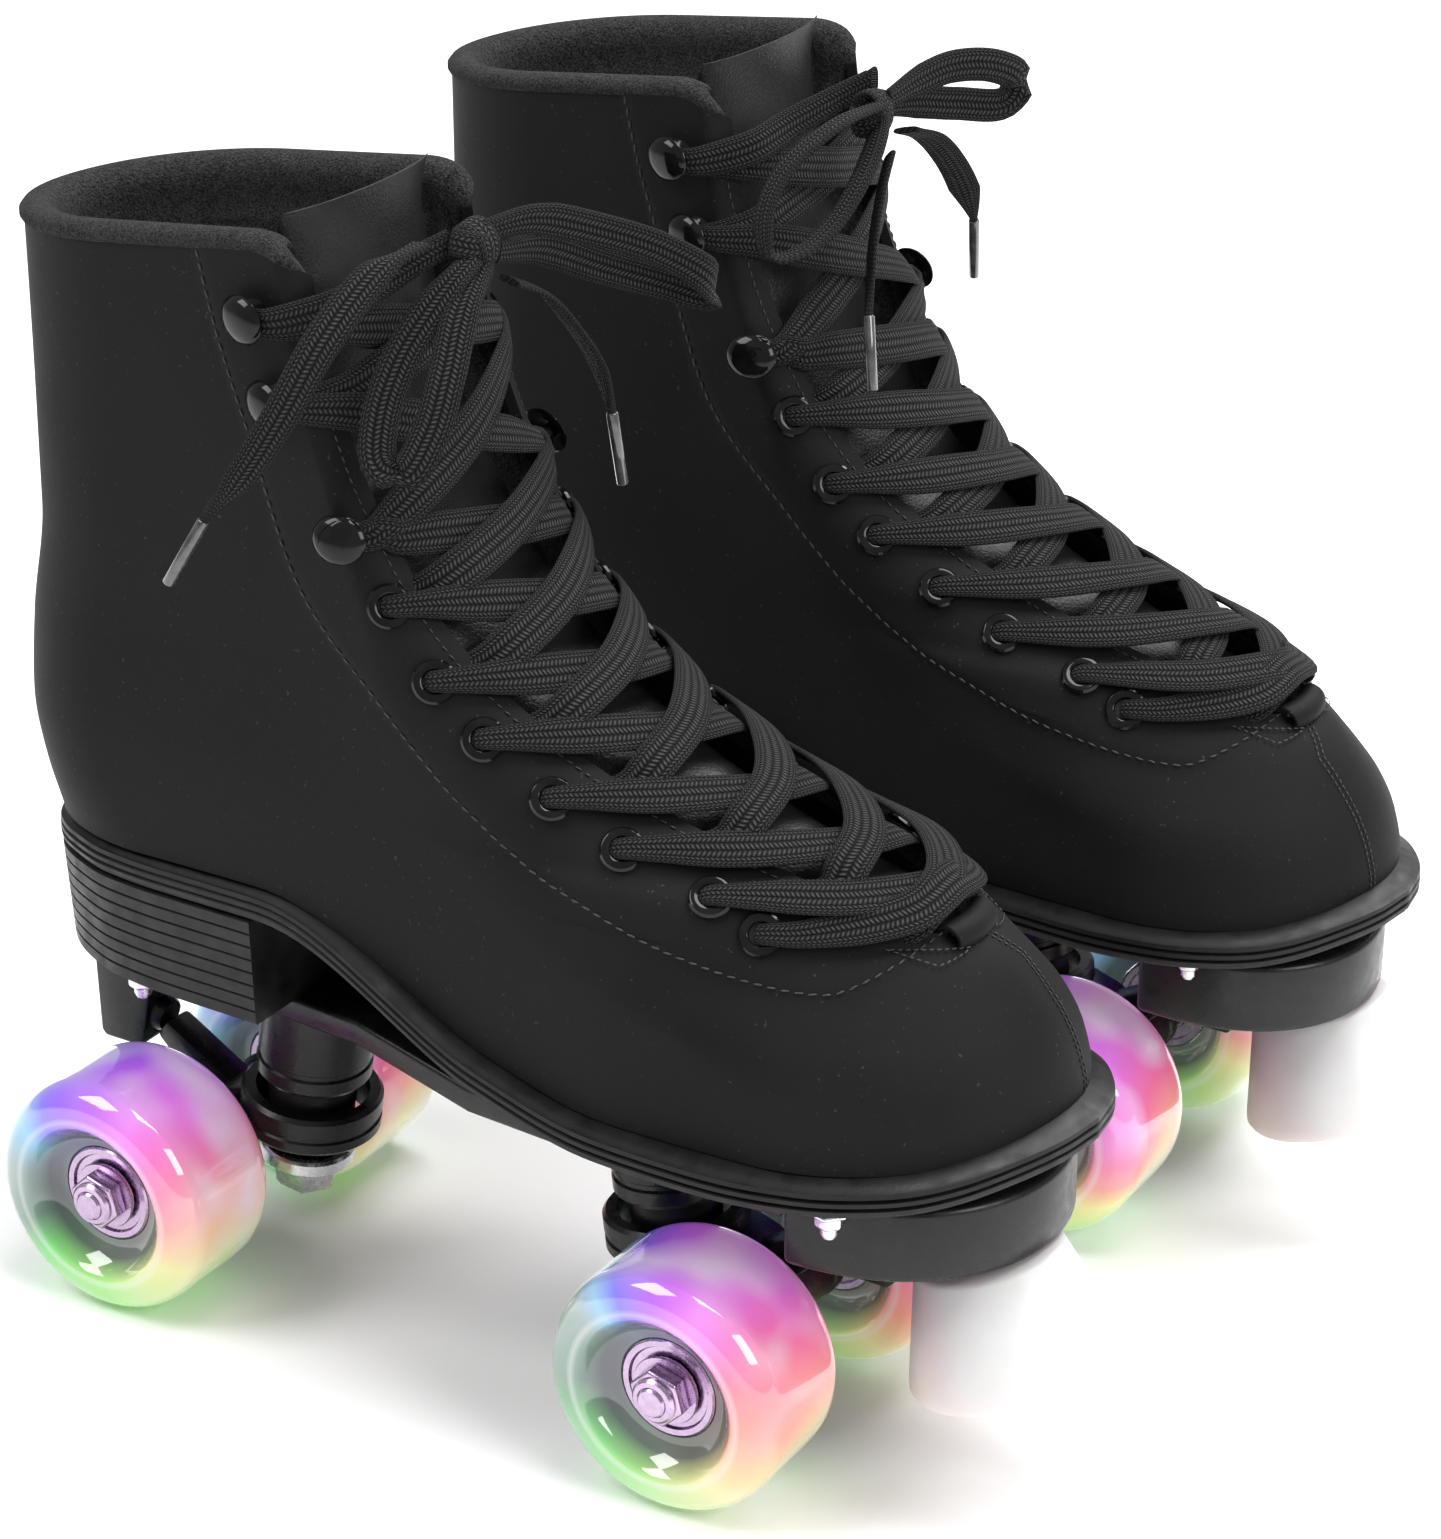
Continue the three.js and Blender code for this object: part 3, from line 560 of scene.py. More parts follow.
def flat_tube(name, points, widths, thicknesses, outs):
    """A flattened tube along points; outs are the directions that its broad face looks in."""
    rings = len(points)
    bpy.ops.object.select_all(action="DESELECT")
    bpy.ops.mesh.primitive_grid_add(x_subdivisions=AROUND, y_subdivisions=rings - 1, size=1)
    piece = started(name)
    forward = tangents(points)
    spots = {}
    for vertex in piece.data.vertices:
        turn_share, ring = vertex.co.x + 0.5, round((vertex.co.y + 0.5) * (rings - 1))
        side = forward[ring].cross(outs[ring]).normalized()
        out = side.cross(forward[ring]).normalized()
        angle = math.tau * turn_share
        c, s = math.cos(angle), math.sin(angle)
        across = math.copysign(abs(c) ** EDGE_SQUARENESS, c) * widths[ring] / 2
        height = math.copysign(abs(s) ** FACE_SQUARENESS, s) * thicknesses[ring] / 2
        spots[vertex.index] = (turn_share, ring)
        vertex.co = points[ring] + side * across + out * height
    walked = [0.0]
    for a, b in zip(points, points[1:]):
        walked.append(walked[-1] + (b - a).length)
    uv = piece.data.uv_layers.new(name="braid")
    for loop in piece.data.loops:
        share, ring = spots[loop.vertex_index]
        half = share * 2 if share <= 0.5 else 2 - share * 2
        uv.data[loop.index].uv = (half * COLUMNS + 0.0001, walked[ring] / STITCH)
    alone(piece)
    bpy.ops.object.mode_set(mode="EDIT")
    bpy.ops.mesh.select_all(action="SELECT")
    bpy.ops.mesh.remove_doubles(threshold=1e-7)
    bpy.ops.mesh.select_mode(type="EDGE")
    bpy.ops.mesh.select_all(action="DESELECT")
    bpy.ops.mesh.select_non_manifold()
    bpy.ops.mesh.edge_face_add()
    bpy.ops.mesh.select_all(action="SELECT")
    bpy.ops.mesh.normals_make_consistent(inside=False)
    bpy.ops.object.mode_set(mode="OBJECT")
    return finished(piece, LACE, 70)


# %% [markdown]
# ## The bows
# Both skates are tied with a loose bow: two loops and two free ends. The routes are points in
# the skate's own millimetres. A free end runs into a clear plastic tip that grips it.

# %% Bow routes
BOWS = {
    "right": {
        "loop_a": [[4, -1, 246], [8, 10, 246], [14, 24, 241], [21, 36, 235], [26, 45, 228],
                   [24, 50, 222], [17, 44, 225], [10, 31, 231], [6, 16, 238], [5, 2, 241]],
        "loop_b": [[5, -6, 242], [3, -15, 236], [0, -24, 226], [-1, -30, 215], [1, -33, 207],
                   [6, -32, 206], [9, -28, 213], [10, -23, 224], [8, -15, 234], [6, -5, 240]],
        "tail_a": [[-1, -15, 246], [-4, -25, 243], [-8, -38, 232], [-13, -46, 218],
                   [-20, -51, 205], [-25, -53, 199], [-34, -56, 183]],
        "tail_b": [[5, 6, 234], [8, 13, 230], [10, 21, 221], [11, 28, 211], [12, 32, 199],
                   [13, 34, 184]]},
    "left": {
        "loop_a": [[6, 1, 242], [8, -7, 244], [12, -16, 246], [18, -25, 245], [21, -31, 241],
                   [19, -29, 236], [12, -19, 237], [7, -9, 239], [5, 0, 240]],
        "loop_b": [[7, 6, 242], [3, 18, 240], [-4, 29, 231], [-5, 35, 222], [-2, 37, 215],
                   [4, 35, 216], [8, 28, 221], [10, 20, 229], [9, 12, 235], [6, 4, 239]],
        "tail_a": [[11, 9, 232], [12, 14, 226], [13, 19, 216], [14, 22, 205], [15, 24, 200],
                   [18, 27, 185]],
        "tail_b": [[6, -7, 233], [8, -14, 230], [9, -23, 222], [9, -31, 212], [8, -37, 203],
                   [6, -41, 190]]}}
WIDTH_LIES = {"loop_a": (0.1, -0.2, 0.95), "loop_b": (0.85, 0.5, 0.1),
              "tail_a": (0.6, 0.7, 0.3), "tail_b": (0.9, -0.4, 0.0)}
KNOTS = {"right": (-4, -4, 243), "left": (-3, 2, 239)}
FREE_WIDTH, LACE_THICK, TIP_LENGTH = 7.5, 1.5, 17.0
TIP_GRIP, KNOT_GRIP, FREE_STEPS = 0.24, 0.62, 60


def lies(foot, name, forward):
    """The direction that the lace's broad face looks in, at each point of a free lace."""
    x, y, z = WIDTH_LIES[name]
    across = Vector((x, y * TOWARDS_BIG_TOE[foot], z))
    outs = [f.cross(across).normalized() for f in forward]
    for i in range(1, len(outs)):
        if outs[i].dot(outs[i - 1]) < 0:
            outs[i].negate()
    return outs


# %% Free laces
def lace_tip(foot, name, points):
    """A clear tip round the last stretch of a free end: a slim tube with rounded rims."""
    start = points[0]
    axis = points[-1] - start
    bpy.ops.object.select_all(action="DESELECT")
    bpy.ops.mesh.primitive_cylinder_add(vertices=20, radius=1.25 * MM, depth=axis.length,
                                        location=(start + points[-1]) / 2,
                                        rotation=axis.to_track_quat("Z", "Y").to_euler())
    tip = started(f"{foot}_{name}_tip")
    pick_faces(tip, lambda at, normal: abs(normal.z) > 0.9)
    bpy.ops.mesh.inset(thickness=0.35 * MM)
    bpy.ops.object.mode_set(mode="OBJECT")
    soften(tip, 0.25)
    return finished(tip, TIP, 50)


def narrowing(name, step, left_over):
    """The share of its width that a free lace has at a step: less at the knot and in its tip."""
    if name.startswith("tail"):
        return max(TIP_GRIP, min(1.0, TIP_GRIP + (left_over - TIP_LENGTH) / 14))
    return KNOT_GRIP + (1 - KNOT_GRIP) * min(1.0, min(step, FREE_STEPS - step) / 8)


for foot, bow in BOWS.items():
    for name, route in bow.items():
        points = spline([place(foot, p) for p in route], FREE_STEPS + 1)
        outs = lies(foot, name, tangents(points))
        total = line_length(points)
        left_over = [total * (1 - i / FREE_STEPS) / MM for i in range(len(points))]
        grips = [narrowing(name, i, left) for i, left in enumerate(left_over)]
        widths = [FREE_WIDTH * grip * MM for grip in grips]
        thick = [LACE_THICK * (1.0 + 0.25 * (1 - grip)) * MM for grip in grips]
        cord = flat_tube(f"{foot}_lace_{name}_braid", points, widths, thick, outs)
        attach(cord, f"{foot}_boot")
        if name.startswith("tail"):
            tip = lace_tip(foot, name, [p for p, left in zip(points, left_over)
                                        if left <= TIP_LENGTH])
            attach(tip, f"{foot}_boot")
            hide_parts(f"{foot}_lace_{name}")
        else:
            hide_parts(f"{foot}_lace_bow")
        print(cord.name, "length", round(total, 4))

# %% [markdown]
# ## The boot's surface
# The boot is described by level outlines: where it starts and ends at each height, how wide it
# is, and how it rounds off at the toe and heel. Everything on the boot is placed by asking this
# surface for a point, so the sole, seams, eyelets and laces all follow it.

# %% Boot tables
SOLE_TOP = [(-105, 104), (-80, 106), (-35, 106.5), (24, 85.5), (53, 81.5), (90, 82), (120, 84),
            (141, 89)]
SOLE_HALF = [(-105, 0), (-102, 11), (-97, 20), (-88, 27), (-75, 32), (-60, 33.5), (-30, 34),
             (0, 36.5), (30, 40.5), (60, 44.5), (82, 45.5), (100, 43.5), (115, 38.5), (127, 30),
             (136, 18), (140, 9), (141.5, 0)]
FRONT = [(78, 136), (90, 136), (97, 134.5), (103, 132), (110.5, 127), (118, 120), (124, 111),
         (129, 102), (132.5, 90), (139, 70), (147, 50), (158, 31), (170, 17), (187, 3),
         (205, -6), (225, -12), (260, -17)]
BACK = [(78, -100), (103, -104), (118, -107.5), (132, -109), (150, -108), (175, -104.5),
        (200, -104.5), (260, -105)]
FRONT_ROUND = [(78, 48), (97, 52), (104, 60), (110, 74), (115, 86), (120, 92), (131, 92),
               (136, 80), (143.5, 56), (153, 38), (163, 27), (177, 16), (190, 11), (218, 9),
               (260, 9)]
BACK_ROUND = [(78, 42), (103, 40), (132, 34), (175, 34), (260, 40)]
WIDTH_HEIGHTS = (78, 105, 130, 165, 200, 260)
WIDTHS = ([(-60, 28.5), (-30, 29), (0, 31.5), (30, 36), (60, 40), (140, 41)],
          [(-60, 32), (-30, 32), (0, 33), (30, 36.5), (60, 40), (140, 41)],
          [(-60, 33), (-30, 33), (0, 33.5), (30, 36), (60, 38), (140, 38)],
          [(-60, 31), (-30, 31.5), (0, 33.5), (30, 36), (60, 37), (140, 37)],
          [(-60, 30.5), (-30, 31), (0, 33), (30, 36), (60, 37), (140, 37)],
          [(-60, 31.5), (-30, 31.5), (0, 32), (30, 38), (60, 38), (140, 38)])
THROAT = [(122, 0), (122.4, 4), (123.2, 7), (125, 9.8), (130, 13), (136, 16), (147, 19),
          (163, 22.5), (177, 24.5), (200, 25.5), (225, 26), (270, 27)]
EYELETS = [(125, 27), (130, 27), (136, 28), (143.5, 29), (153, 30), (163, 30.5), (177, 31),
           (190, 30.5), (215, 30), (231.5, 30)]
HOOKS_FROM = 7
HOOK_X = {7: -8, 8: -23.5, 9: -28.5}
COLLAR_BACK, COLLAR_SLOPE, TOE_SHIFT = 236.5, 0.12, 5
CORNER_SHARE, CORNER_DIP = 0.075, 6.5


# %% Boot surface
def along(table, at):
    """A smooth value between a table's entries, without overshoot."""
    last = len(table) - 1
    if at <= table[0][0]:
        return table[0][1]
    if at >= table[last][0]:
        return table[last][1]
    i = 0
    while table[i + 1][0] < at:
        i += 1

    def slope(k):
        if 0 <= k < last:
            return (table[k + 1][1] - table[k][1]) / (table[k + 1][0] - table[k][0])
        return None

    def tangent(k):
        before, after = slope(k - 1), slope(k)
        if before is None or after is None:
            return after if before is None else before
        return 0 if before * after <= 0 else 2 * before * after / (before + after)

    span = table[i + 1][0] - table[i][0]
    t = (at - table[i][0]) / span
    a, b = table[i][1], table[i + 1][1]
    return (a * (1 + 2 * t) * (1 - t) ** 2 + tangent(i) * span * t * (1 - t) ** 2
            + b * t * t * (3 - 2 * t) - tangent(i + 1) * span * t * t * (1 - t))


def dense(table, low, high, step):
    """The same curve from a fine list of its values, which is much quicker to read."""
    values = [along(table, low + step * i) for i in range(round((high - low) / step) + 2)]

    def read(at):
        share = max(0.0, min(len(values) - 1.001, (at - low) / step))
        i = int(share)
        return values[i] + (values[i + 1] - values[i]) * (share - i)
    return read


front_at, back_at = dense(FRONT, 76, 262, 0.25), dense(BACK, 76, 262, 0.25)
front_round, back_round = dense(FRONT_ROUND, 76, 262, 0.25), dense(BACK_ROUND, 76, 262, 0.25)
throat_at, sole_top = dense(THROAT, 120, 262, 0.1), dense(SOLE_TOP, -112, 145, 0.5)
WIDTH_GRID = [[along([(h, along(row, x)) for h, row in zip(WIDTH_HEIGHTS, WIDTHS)], z)
               for z in range(76, 264, 2)] for x in range(-114, 146, 2)]


def full_half(x, z):
    across = max(0.0, min(len(WIDTH_GRID) - 1.001, (x + 114) / 2))
    up = max(0.0, min(len(WIDTH_GRID[0]) - 1.001, (z - 76) / 2))
    i, j = int(across), int(up)
    low = WIDTH_GRID[i][j] + (WIDTH_GRID[i][j + 1] - WIDTH_GRID[i][j]) * (up - j)
    high = WIDTH_GRID[i + 1][j] + (WIDTH_GRID[i + 1][j + 1] - WIDTH_GRID[i + 1][j]) * (up - j)
    return low + (high - low) * (across - i)


def middle_line(x):
    return TOE_SHIFT * max(0.0, min(1.0, (x - 30) / 110)) ** 2


def rounded(share):
    share = max(0.0, min(1.0, share))
    return math.sqrt(1 - (1 - share) ** 2)


def half_width(x, z):
    return (full_half(x, z) * rounded((front_at(z) - x) / front_round(z))
            * rounded((x - back_at(z)) / back_round(z)))


def outline(z, turn):
    """A point of the outline at height z: turn 0 is the toe, then the little toe's side."""
    front, back = front_at(z), back_at(z)
    x = front - (front - back) * (1 - math.cos(turn)) / 2
    side = 1 if turn > math.pi else -1
    return Vector((x, middle_line(x) + side * half_width(x, z), z))


def front_point(z, y):
    front = front_at(z)
    width = full_half(front - 10, z)
    x = front - front_round(z) * (1 - math.sqrt(max(0.0, 1 - (y / width) ** 2)))
    return Vector((x, y + middle_line(x), z))


def front_normal(z, y):
    up = front_point(z + 0.5, y) - front_point(z - 0.5, y)
    across = front_point(z, y + 0.5) - front_point(z, y - 0.5)
    return across.cross(up).normalized()


def side_point(x, z, side, lift=0.0):
    """A point on the boot's side at (x, z), lifted off the leather."""
    def at(px, pz):
        return Vector((px, middle_line(px) + side * half_width(px, pz), pz))
    here = at(x, z)
    out = (at(x + 0.4, z) - at(x - 0.4, z)).cross(at(x, z + 0.4) - at(x, z - 0.4)).normalized()
    if out.y * side < 0:
        out.negate()
    return here + out * lift, out


print("boot length", round(front_at(97) - back_at(132), 1), "mm")

# %% [markdown]
# ## The left skate
# The left skate mirrors the right one, so every piece is modelled on the right skate and its
# copy is mirrored, with a mesh of its own and its faces turned back outwards.

# %% Mirrored copies
def fit_out(piece, body, nodes=()):
    """Lets a piece move with a body of the right skate, and makes the left skate's copy."""
    made = []
    for foot in ("right", "left"):
        own = piece
        if foot == "left":
            own = piece.copy()
            own.data = piece.data.copy()
            own.name = own.data.name = piece.name.replace("right_", "left_")
            bpy.context.scene.collection.objects.link(own)
            own.parent = None
            own.matrix_world = Matrix.Identity(4)
            for vertex in own.data.vertices:
                x, y, z = vertex.co - ORIGIN["right"]
                vertex.co = ORIGIN["left"] + Vector((x, -y, z))
            own.data.flip_normals()
        made.append((foot, own))
    for foot, own in made:
        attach(own, f"{foot}_{body}")
        if nodes:
            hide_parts(*[f"{foot}_{node}" for node in nodes])
    return [own for _, own in made]


def draped(name, columns, rows, where):
    """A grid primitive whose points are carried to where(u, v), a point in skate millimetres."""
    bpy.ops.object.select_all(action="DESELECT")
    bpy.ops.mesh.primitive_grid_add(x_subdivisions=columns, y_subdivisions=rows, size=1)
    piece = started(name)
    for vertex in piece.data.vertices:
        column, row = round((vertex.co.x + 0.5) * columns), round((vertex.co.y + 0.5) * rows)
        vertex.co = place("right", where(column, row))
    return piece


# %% [markdown]
# ## The upper
# The leather shell is one curved sheet, cut away down the front for the tongue. A grid is draped
# over the boot's surface with its side edges on the throat, then Solidify gives the leather its
# thickness. Rows lie closer where the surface is nearly level, so that the toe stays round.

# %% Rows and columns of the shell
def level_rows(low, high, spacing):
    rows, z = [low], low
    while z < high:
        lean = (front_at(z + 0.5) - front_at(z - 0.5)) ** 2
        z += max(0.32, spacing / math.sqrt(1 + 0.75 * lean))
        rows.append(min(z, high))
    return rows


@functools.lru_cache(maxsize=None)
def throat_turn(z, extra=0.0):
    """How far round the outline the throat's edge lies at a height."""
    half = throat_at(z)
    if z <= THROAT[0][0] or half <= 0:
        return 0.0
    low, high = 0.0, 1.2
    for _ in range(24):
        turn = (low + high) / 2
        x = outline(z, turn).x
        low, high = (turn, high) if half_width(x, z) < half + extra else (low, turn)
    return high


def collar_height(x, share):
    """The collar rises gently forwards and rounds down at the throat's corners."""
    corner = max(0.0, 1 - min(share, 1 - share) / CORNER_SHARE)
    return COLLAR_BACK + COLLAR_SLOPE * (x + 101) - CORNER_DIP * corner ** 2.0


def shell_point(z, share, inset=0.0, foot_lift=0.3, collar_lift=0.0, extra=0.0):
    """share runs from one edge of the throat, round the heel, to the other edge."""
    edge = throat_turn(z, extra)
    turn = edge + (math.tau - 2 * edge) * share
    point = outline(z, turn)
    for _ in range(2):
        low = sole_top(point.x) + foot_lift
        high = collar_height(point.x, share) + collar_lift
        level = max(low, min(high, z))
        if level != z:
            edge = throat_turn(level, extra)
            point = outline(level, edge + (math.tau - 2 * edge) * share)
    if inset:
        ahead = outline(point.z, min(math.tau, turn + 0.02)) - outline(point.z, max(0, turn - 0.02))
        inward = Vector((ahead.y, -ahead.x, 0)).normalized()
        middle = Vector((back_at(point.z) / 2 + front_at(point.z) / 2, 0, point.z))
        if inward.dot(middle - point) < 0:
            inward.negate()
        point = point + inward * inset
    return point


# %% Upper
SEAM = [(-43.3, 245.6), (-39.8, 230), (-36.3, 218.4), (-32.4, 207.5), (-20.2, 176.2),
        (-0.4, 156.7), (7.8, 149), (18, 140.3), (32.4, 131.5), (49.6, 125.5), (62, 121.5),
        (72.7, 119), (83.6, 117.1), (93.9, 116), (98.9, 116.2), (104.3, 118.8), (108.4, 121.6),
        (110.6, 123.6)]
SEAM_BY_X = sorted(SEAM)
UPPER_COLUMNS, WALL = 176, 2.2
upper_rows = level_rows(80, 256, 1.75)


seam_height = dense(SEAM_BY_X, -60, 120, 0.5)


def panel_lift(point):
    """The facing panel is lapped over the side: a step of 0.6 mm along the side seam."""
    above = point.z - seam_height(point.x)
    slope = abs(seam_height(point.x + 1) - seam_height(point.x - 1)) / 2
    distance = above / math.sqrt(1 + slope * slope)
    return 0.6 * max(0.0, min(1.0, distance / 1.4 + 0.5))


def upper_at(column, row):
    share = column / UPPER_COLUMNS
    point = shell_point(upper_rows[row], share)
    step = panel_lift(point)
    if step:
        centre = Vector((point.x - 8, middle_line(point.x), point.z - 6))
        point = point + (point - centre).normalized() * step
    return point


upper = draped("right_boot_leather", UPPER_COLUMNS, len(upper_rows) - 1, upper_at)
tidy_faces(upper, 4e-5)
apply_modifier(upper, "SOLIDIFY", thickness=WALL * MM, offset=-1, use_even_offset=False,
               use_rim=True)
finished(upper, NUBUCK, 60)
fit_out(upper, "boot", ["upper"])
print("upper", len(upper.data.polygons), "faces")

# %% [markdown]
# ## Lining and collar roll
# The lining is thick fleece over foam. Inside it follows the leather; at the collar it rolls
# over the leather's cut edge, so the rim looks soft. It is one sheet whose rows run from the
# leather's outside, over the rim and down the inside, then given its thickness.

# %% Lining
LINING_COLUMNS = 120
inner_rows = [250 - (250 - 92) * (i / 34) ** 1.15 for i in range(35)]
rim_profile = [(0.0, -0.6), (-0.5, 0.2), (-0.5, 1.0), (0.2, 1.9), (1.6, 2.4), (3.4, 2.4),
               (5.0, 1.7), (6.2, 0.4), (6.8, -1.4), (6.8, -4), (6.4, -8)]


def pad_swell(z):
    """The collar foam is fuller near the rim."""
    return 5.2 + 2.0 * math.exp(-((z - 226) / 16) ** 2)


def edge_share(share):
    """1 on the throat's edges, where the lining closes on the leather, and 0 past two columns."""
    return max(0.0, 1 - min(share, 1 - share) * LINING_COLUMNS / 2.5) ** 2


def rim_point(share, inset, lift):
    edge = edge_share(share)
    inset, lift = inset + (0.5 * WALL - inset) * edge, lift * (1 - edge)
    rim = shell_point(400, share, 0, extra=1.0)
    point = shell_point(rim.z, share, inset, extra=1.0, collar_lift=200)
    return Vector((point.x, point.y, rim.z + lift))


def lining_at(column, row):
    share = column / LINING_COLUMNS
    if row < len(rim_profile):
        return rim_point(share, *rim_profile[row])
    z = inner_rows[row - len(rim_profile)]
    rim = shell_point(400, share, 0)
    level = min(z, rim.z - 10)
    edge = edge_share(share)
    inset = pad_swell(level) + (0.5 * WALL - pad_swell(level)) * edge
    return shell_point(level, share, inset, foot_lift=5.2, extra=5.0 - 4.0 * edge)


lining = draped("right_fleece_lining", LINING_COLUMNS, len(rim_profile) + len(inner_rows) - 1,
                lining_at)
tidy_faces(lining, 5e-5)
apply_modifier(lining, "SOLIDIFY", thickness=0.9 * MM, offset=0, use_rim=True)
finished(lining, FLEECE, 70)
for pad in fit_out(lining, "boot", ["lining"]):
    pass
print("lining", len(lining.data.polygons), "faces")

# %% [markdown]
# ## Tongue
# The tongue is a padded flap that stands under the laces and rises above the collar. Its face is
# smooth leather and its back is fleece. The grid goes round its whole section, and the cloth
# step further down swells it like foam under leather.

# %% Tongue
TONGUE_COLUMNS, TONGUE_ROWS = 40, 70
TONGUE_LOW, TONGUE_HIGH = 123.5, 251


def tongue_at(column, row):
    turn = math.tau * column / TONGUE_COLUMNS
    z = TONGUE_LOW + (TONGUE_HIGH - TONGUE_LOW) * row / TONGUE_ROWS
    top = max(0.0, (z - 236) / 15)
    width = (throat_at(max(z, 126)) - 2.2 + 2.0 * max(0, 1 - abs(z - 126) / 8)
             + 6.0 * min(1.0, max(0.0, (z - 212) / 25))) * (1 - 0.1 * top ** 4)
    depth = 3.2 + 6 * max(0, z - 129) / 120
    thickness = 4.2 * min(1.0, (row + 1) / 6, (TONGUE_ROWS + 1 - row) / 4)
    c, s = math.cos(turn), math.sin(turn)
    y = width * math.copysign(abs(c) ** 0.7, c)
    inwards = depth + thickness / 2 - s * thickness / 2 - 3.0 * top * top
    return front_point(z, y) - front_normal(z, y) * inwards


tongue = draped("right_tongue_pad", TONGUE_COLUMNS, TONGUE_ROWS, tongue_at)
tidy_faces(tongue, 5e-5)
alone(tongue)
bpy.ops.object.mode_set(mode="EDIT")
bpy.ops.mesh.select_mode(type="EDGE")
bpy.ops.mesh.select_all(action="DESELECT")
bpy.ops.mesh.select_non_manifold()
bpy.ops.mesh.edge_face_add()
bpy.ops.mesh.select_all(action="SELECT")
bpy.ops.mesh.normals_make_consistent(inside=False)
bpy.ops.object.mode_set(mode="OBJECT")
finished(tongue, TONGUE, 60)

# %% [markdown]
# The foam's fullness comes from a short cloth simulation: pressure blows the flap up a little,
# and each point may move 1.6 millimetres at most, so it stays between the laces and the foot.

# %% Tongue foam
def stuffed(piece, pressure, most):
    """Swells a closed piece with a short cloth simulation; most is the cap in millimetres."""
    rest = [v.co.copy() for v in piece.data.vertices]
    alone(piece)
    cloth = piece.modifiers.new("foam", "CLOTH")
    cloth.settings.use_pressure = True
    cloth.settings.uniform_pressure_force = pressure
    cloth.settings.effector_weights.gravity = 0
    cloth.settings.tension_stiffness = cloth.settings.compression_stiffness = 25
    for step in range(1, 15):
        bpy.context.scene.frame_set(step)
    bpy.ops.object.modifier_apply(modifier=cloth.name)
    bpy.context.scene.frame_set(1)
    for vertex, start in zip(piece.data.vertices, rest):
        move = vertex.co - start
        if move.length > most * MM:
            vertex.co = start + move.normalized() * most * MM


stuffed(tongue, 2.0, 1.6)
tongue.data.materials.append(FLEECE)
for face in tongue.data.polygons:
    z = (face.center - ORIGIN["right"]).z / MM
    out = front_normal(min(z, 250), 0)
    face.material_index = 1 if face.normal.dot(out) < -0.2 else 0
for pad in fit_out(tongue, "boot", ["tongue"]):
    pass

# %% [markdown]
# ## Insole
# A soft footbed lies in the boot: a shallow dish with a raised rim.

# %% Insole
INSOLE_COLUMNS, INSOLE_ROWS, INSOLE_BACK, INSOLE_LENGTH = 48, 16, -92, 214


def insole_at(column, row):
    share = row / INSOLE_ROWS * 2 - 1
    x = INSOLE_BACK + INSOLE_LENGTH * column / INSOLE_COLUMNS
    z = sole_top(x) + 0.6
    half = max(3.0, half_width(x, z + 5) - 8.6)
    return Vector((x, middle_line(x) + share * half, z + 3.4 + 1.3 * abs(share) ** 3))


insole = draped("right_footbed", INSOLE_COLUMNS, INSOLE_ROWS, insole_at)
apply_modifier(insole, "SOLIDIFY", thickness=3 * MM, offset=-1)
tidy_faces(insole)
soften(insole, 0.6)
finished(insole, FLEECE)
for pad in fit_out(insole, "boot", ["insole"]):
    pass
print("inside of the boot done")

# %% [markdown]
# ## Stitching
# Thread shows as short raised stitches with gaps between. One stitch is a six-sided bead; it is
# copied along every seam line. The rows are the side seam, the facing, the toe seam and the
# reinforcing triangles beside the end of the throat.

# %% Stitch rows
bpy.ops.object.select_all(action="DESELECT")
bpy.ops.mesh.primitive_uv_sphere_add(segments=6, ring_count=5, radius=0.5)
bead = started("bead")
BEAD_POINTS = [v.co.copy() for v in bead.data.vertices]
BEAD_FACES = [tuple(f.vertices) for f in bead.data.polygons]
bpy.data.objects.remove(bead)


def stitch_row(rows, pitch=2.7, length=1.9, thick=0.5, slant=0.12):
    """Points and faces of the stitches along rows of (point, outward direction)."""
    points, faces = [], []
    for row in rows:
        spots = [p for p, _ in row]
        count = max(2, round(line_length(spots) / pitch))
        walked = [0.0]
        for a, b in zip(spots, spots[1:]):
            walked.append(walked[-1] + (b - a).length)
        for k in range(count):
            want = walked[-1] * (k + 0.5) / count
            i = max(j for j in range(len(walked) - 1) if walked[j] <= want + 1e-9)
            share = (want - walked[i]) / max(1e-9, walked[i + 1] - walked[i])
            at = spots[i].lerp(spots[i + 1], share)
            out = row[i][1].lerp(row[i + 1][1], share).normalized()
            ahead = (spots[i + 1] - spots[i]).normalized()
            side = out.cross(ahead).normalized()
            ahead = (ahead + side * slant).normalized()
            side = out.cross(ahead)
            base = len(points)
            for p in BEAD_POINTS:
                points.append(place("right", at + ahead * p.z * length + side * p.x * thick
                                    + out * p.y * thick * 0.8))
            faces += [tuple(base + v for v in face) for face in BEAD_FACES]
    return points, faces


def sewn(name, rows, **sizes):
    mesh = bpy.data.meshes.new(name)
    points, faces = stitch_row(rows, **sizes)
    mesh.from_pydata(points, [], faces)
    piece = bpy.data.objects.new(name, mesh)
    bpy.context.scene.collection.objects.link(piece)
    finished(piece, THREAD, 80)
    return fit_out(piece, "boot")


def seam_row(side, lift=0.15):
    line = spline([(x, z, 0) for x, z in SEAM], 150)
    return [side_point(p.x, p.y, side, lift + 0.3) for p in line]


def facing_row(side, out=3.2):
    result = []
    for i in range(110):
        z = 124.5 + (229 - 124.5) * i / 109
        y = side * (throat_at(z) + out)
        result.append((front_point(z, y) + front_normal(z, y) * 0.75, front_normal(z, y)))
    return result


TOE_SEAM_SIDE = 6.5


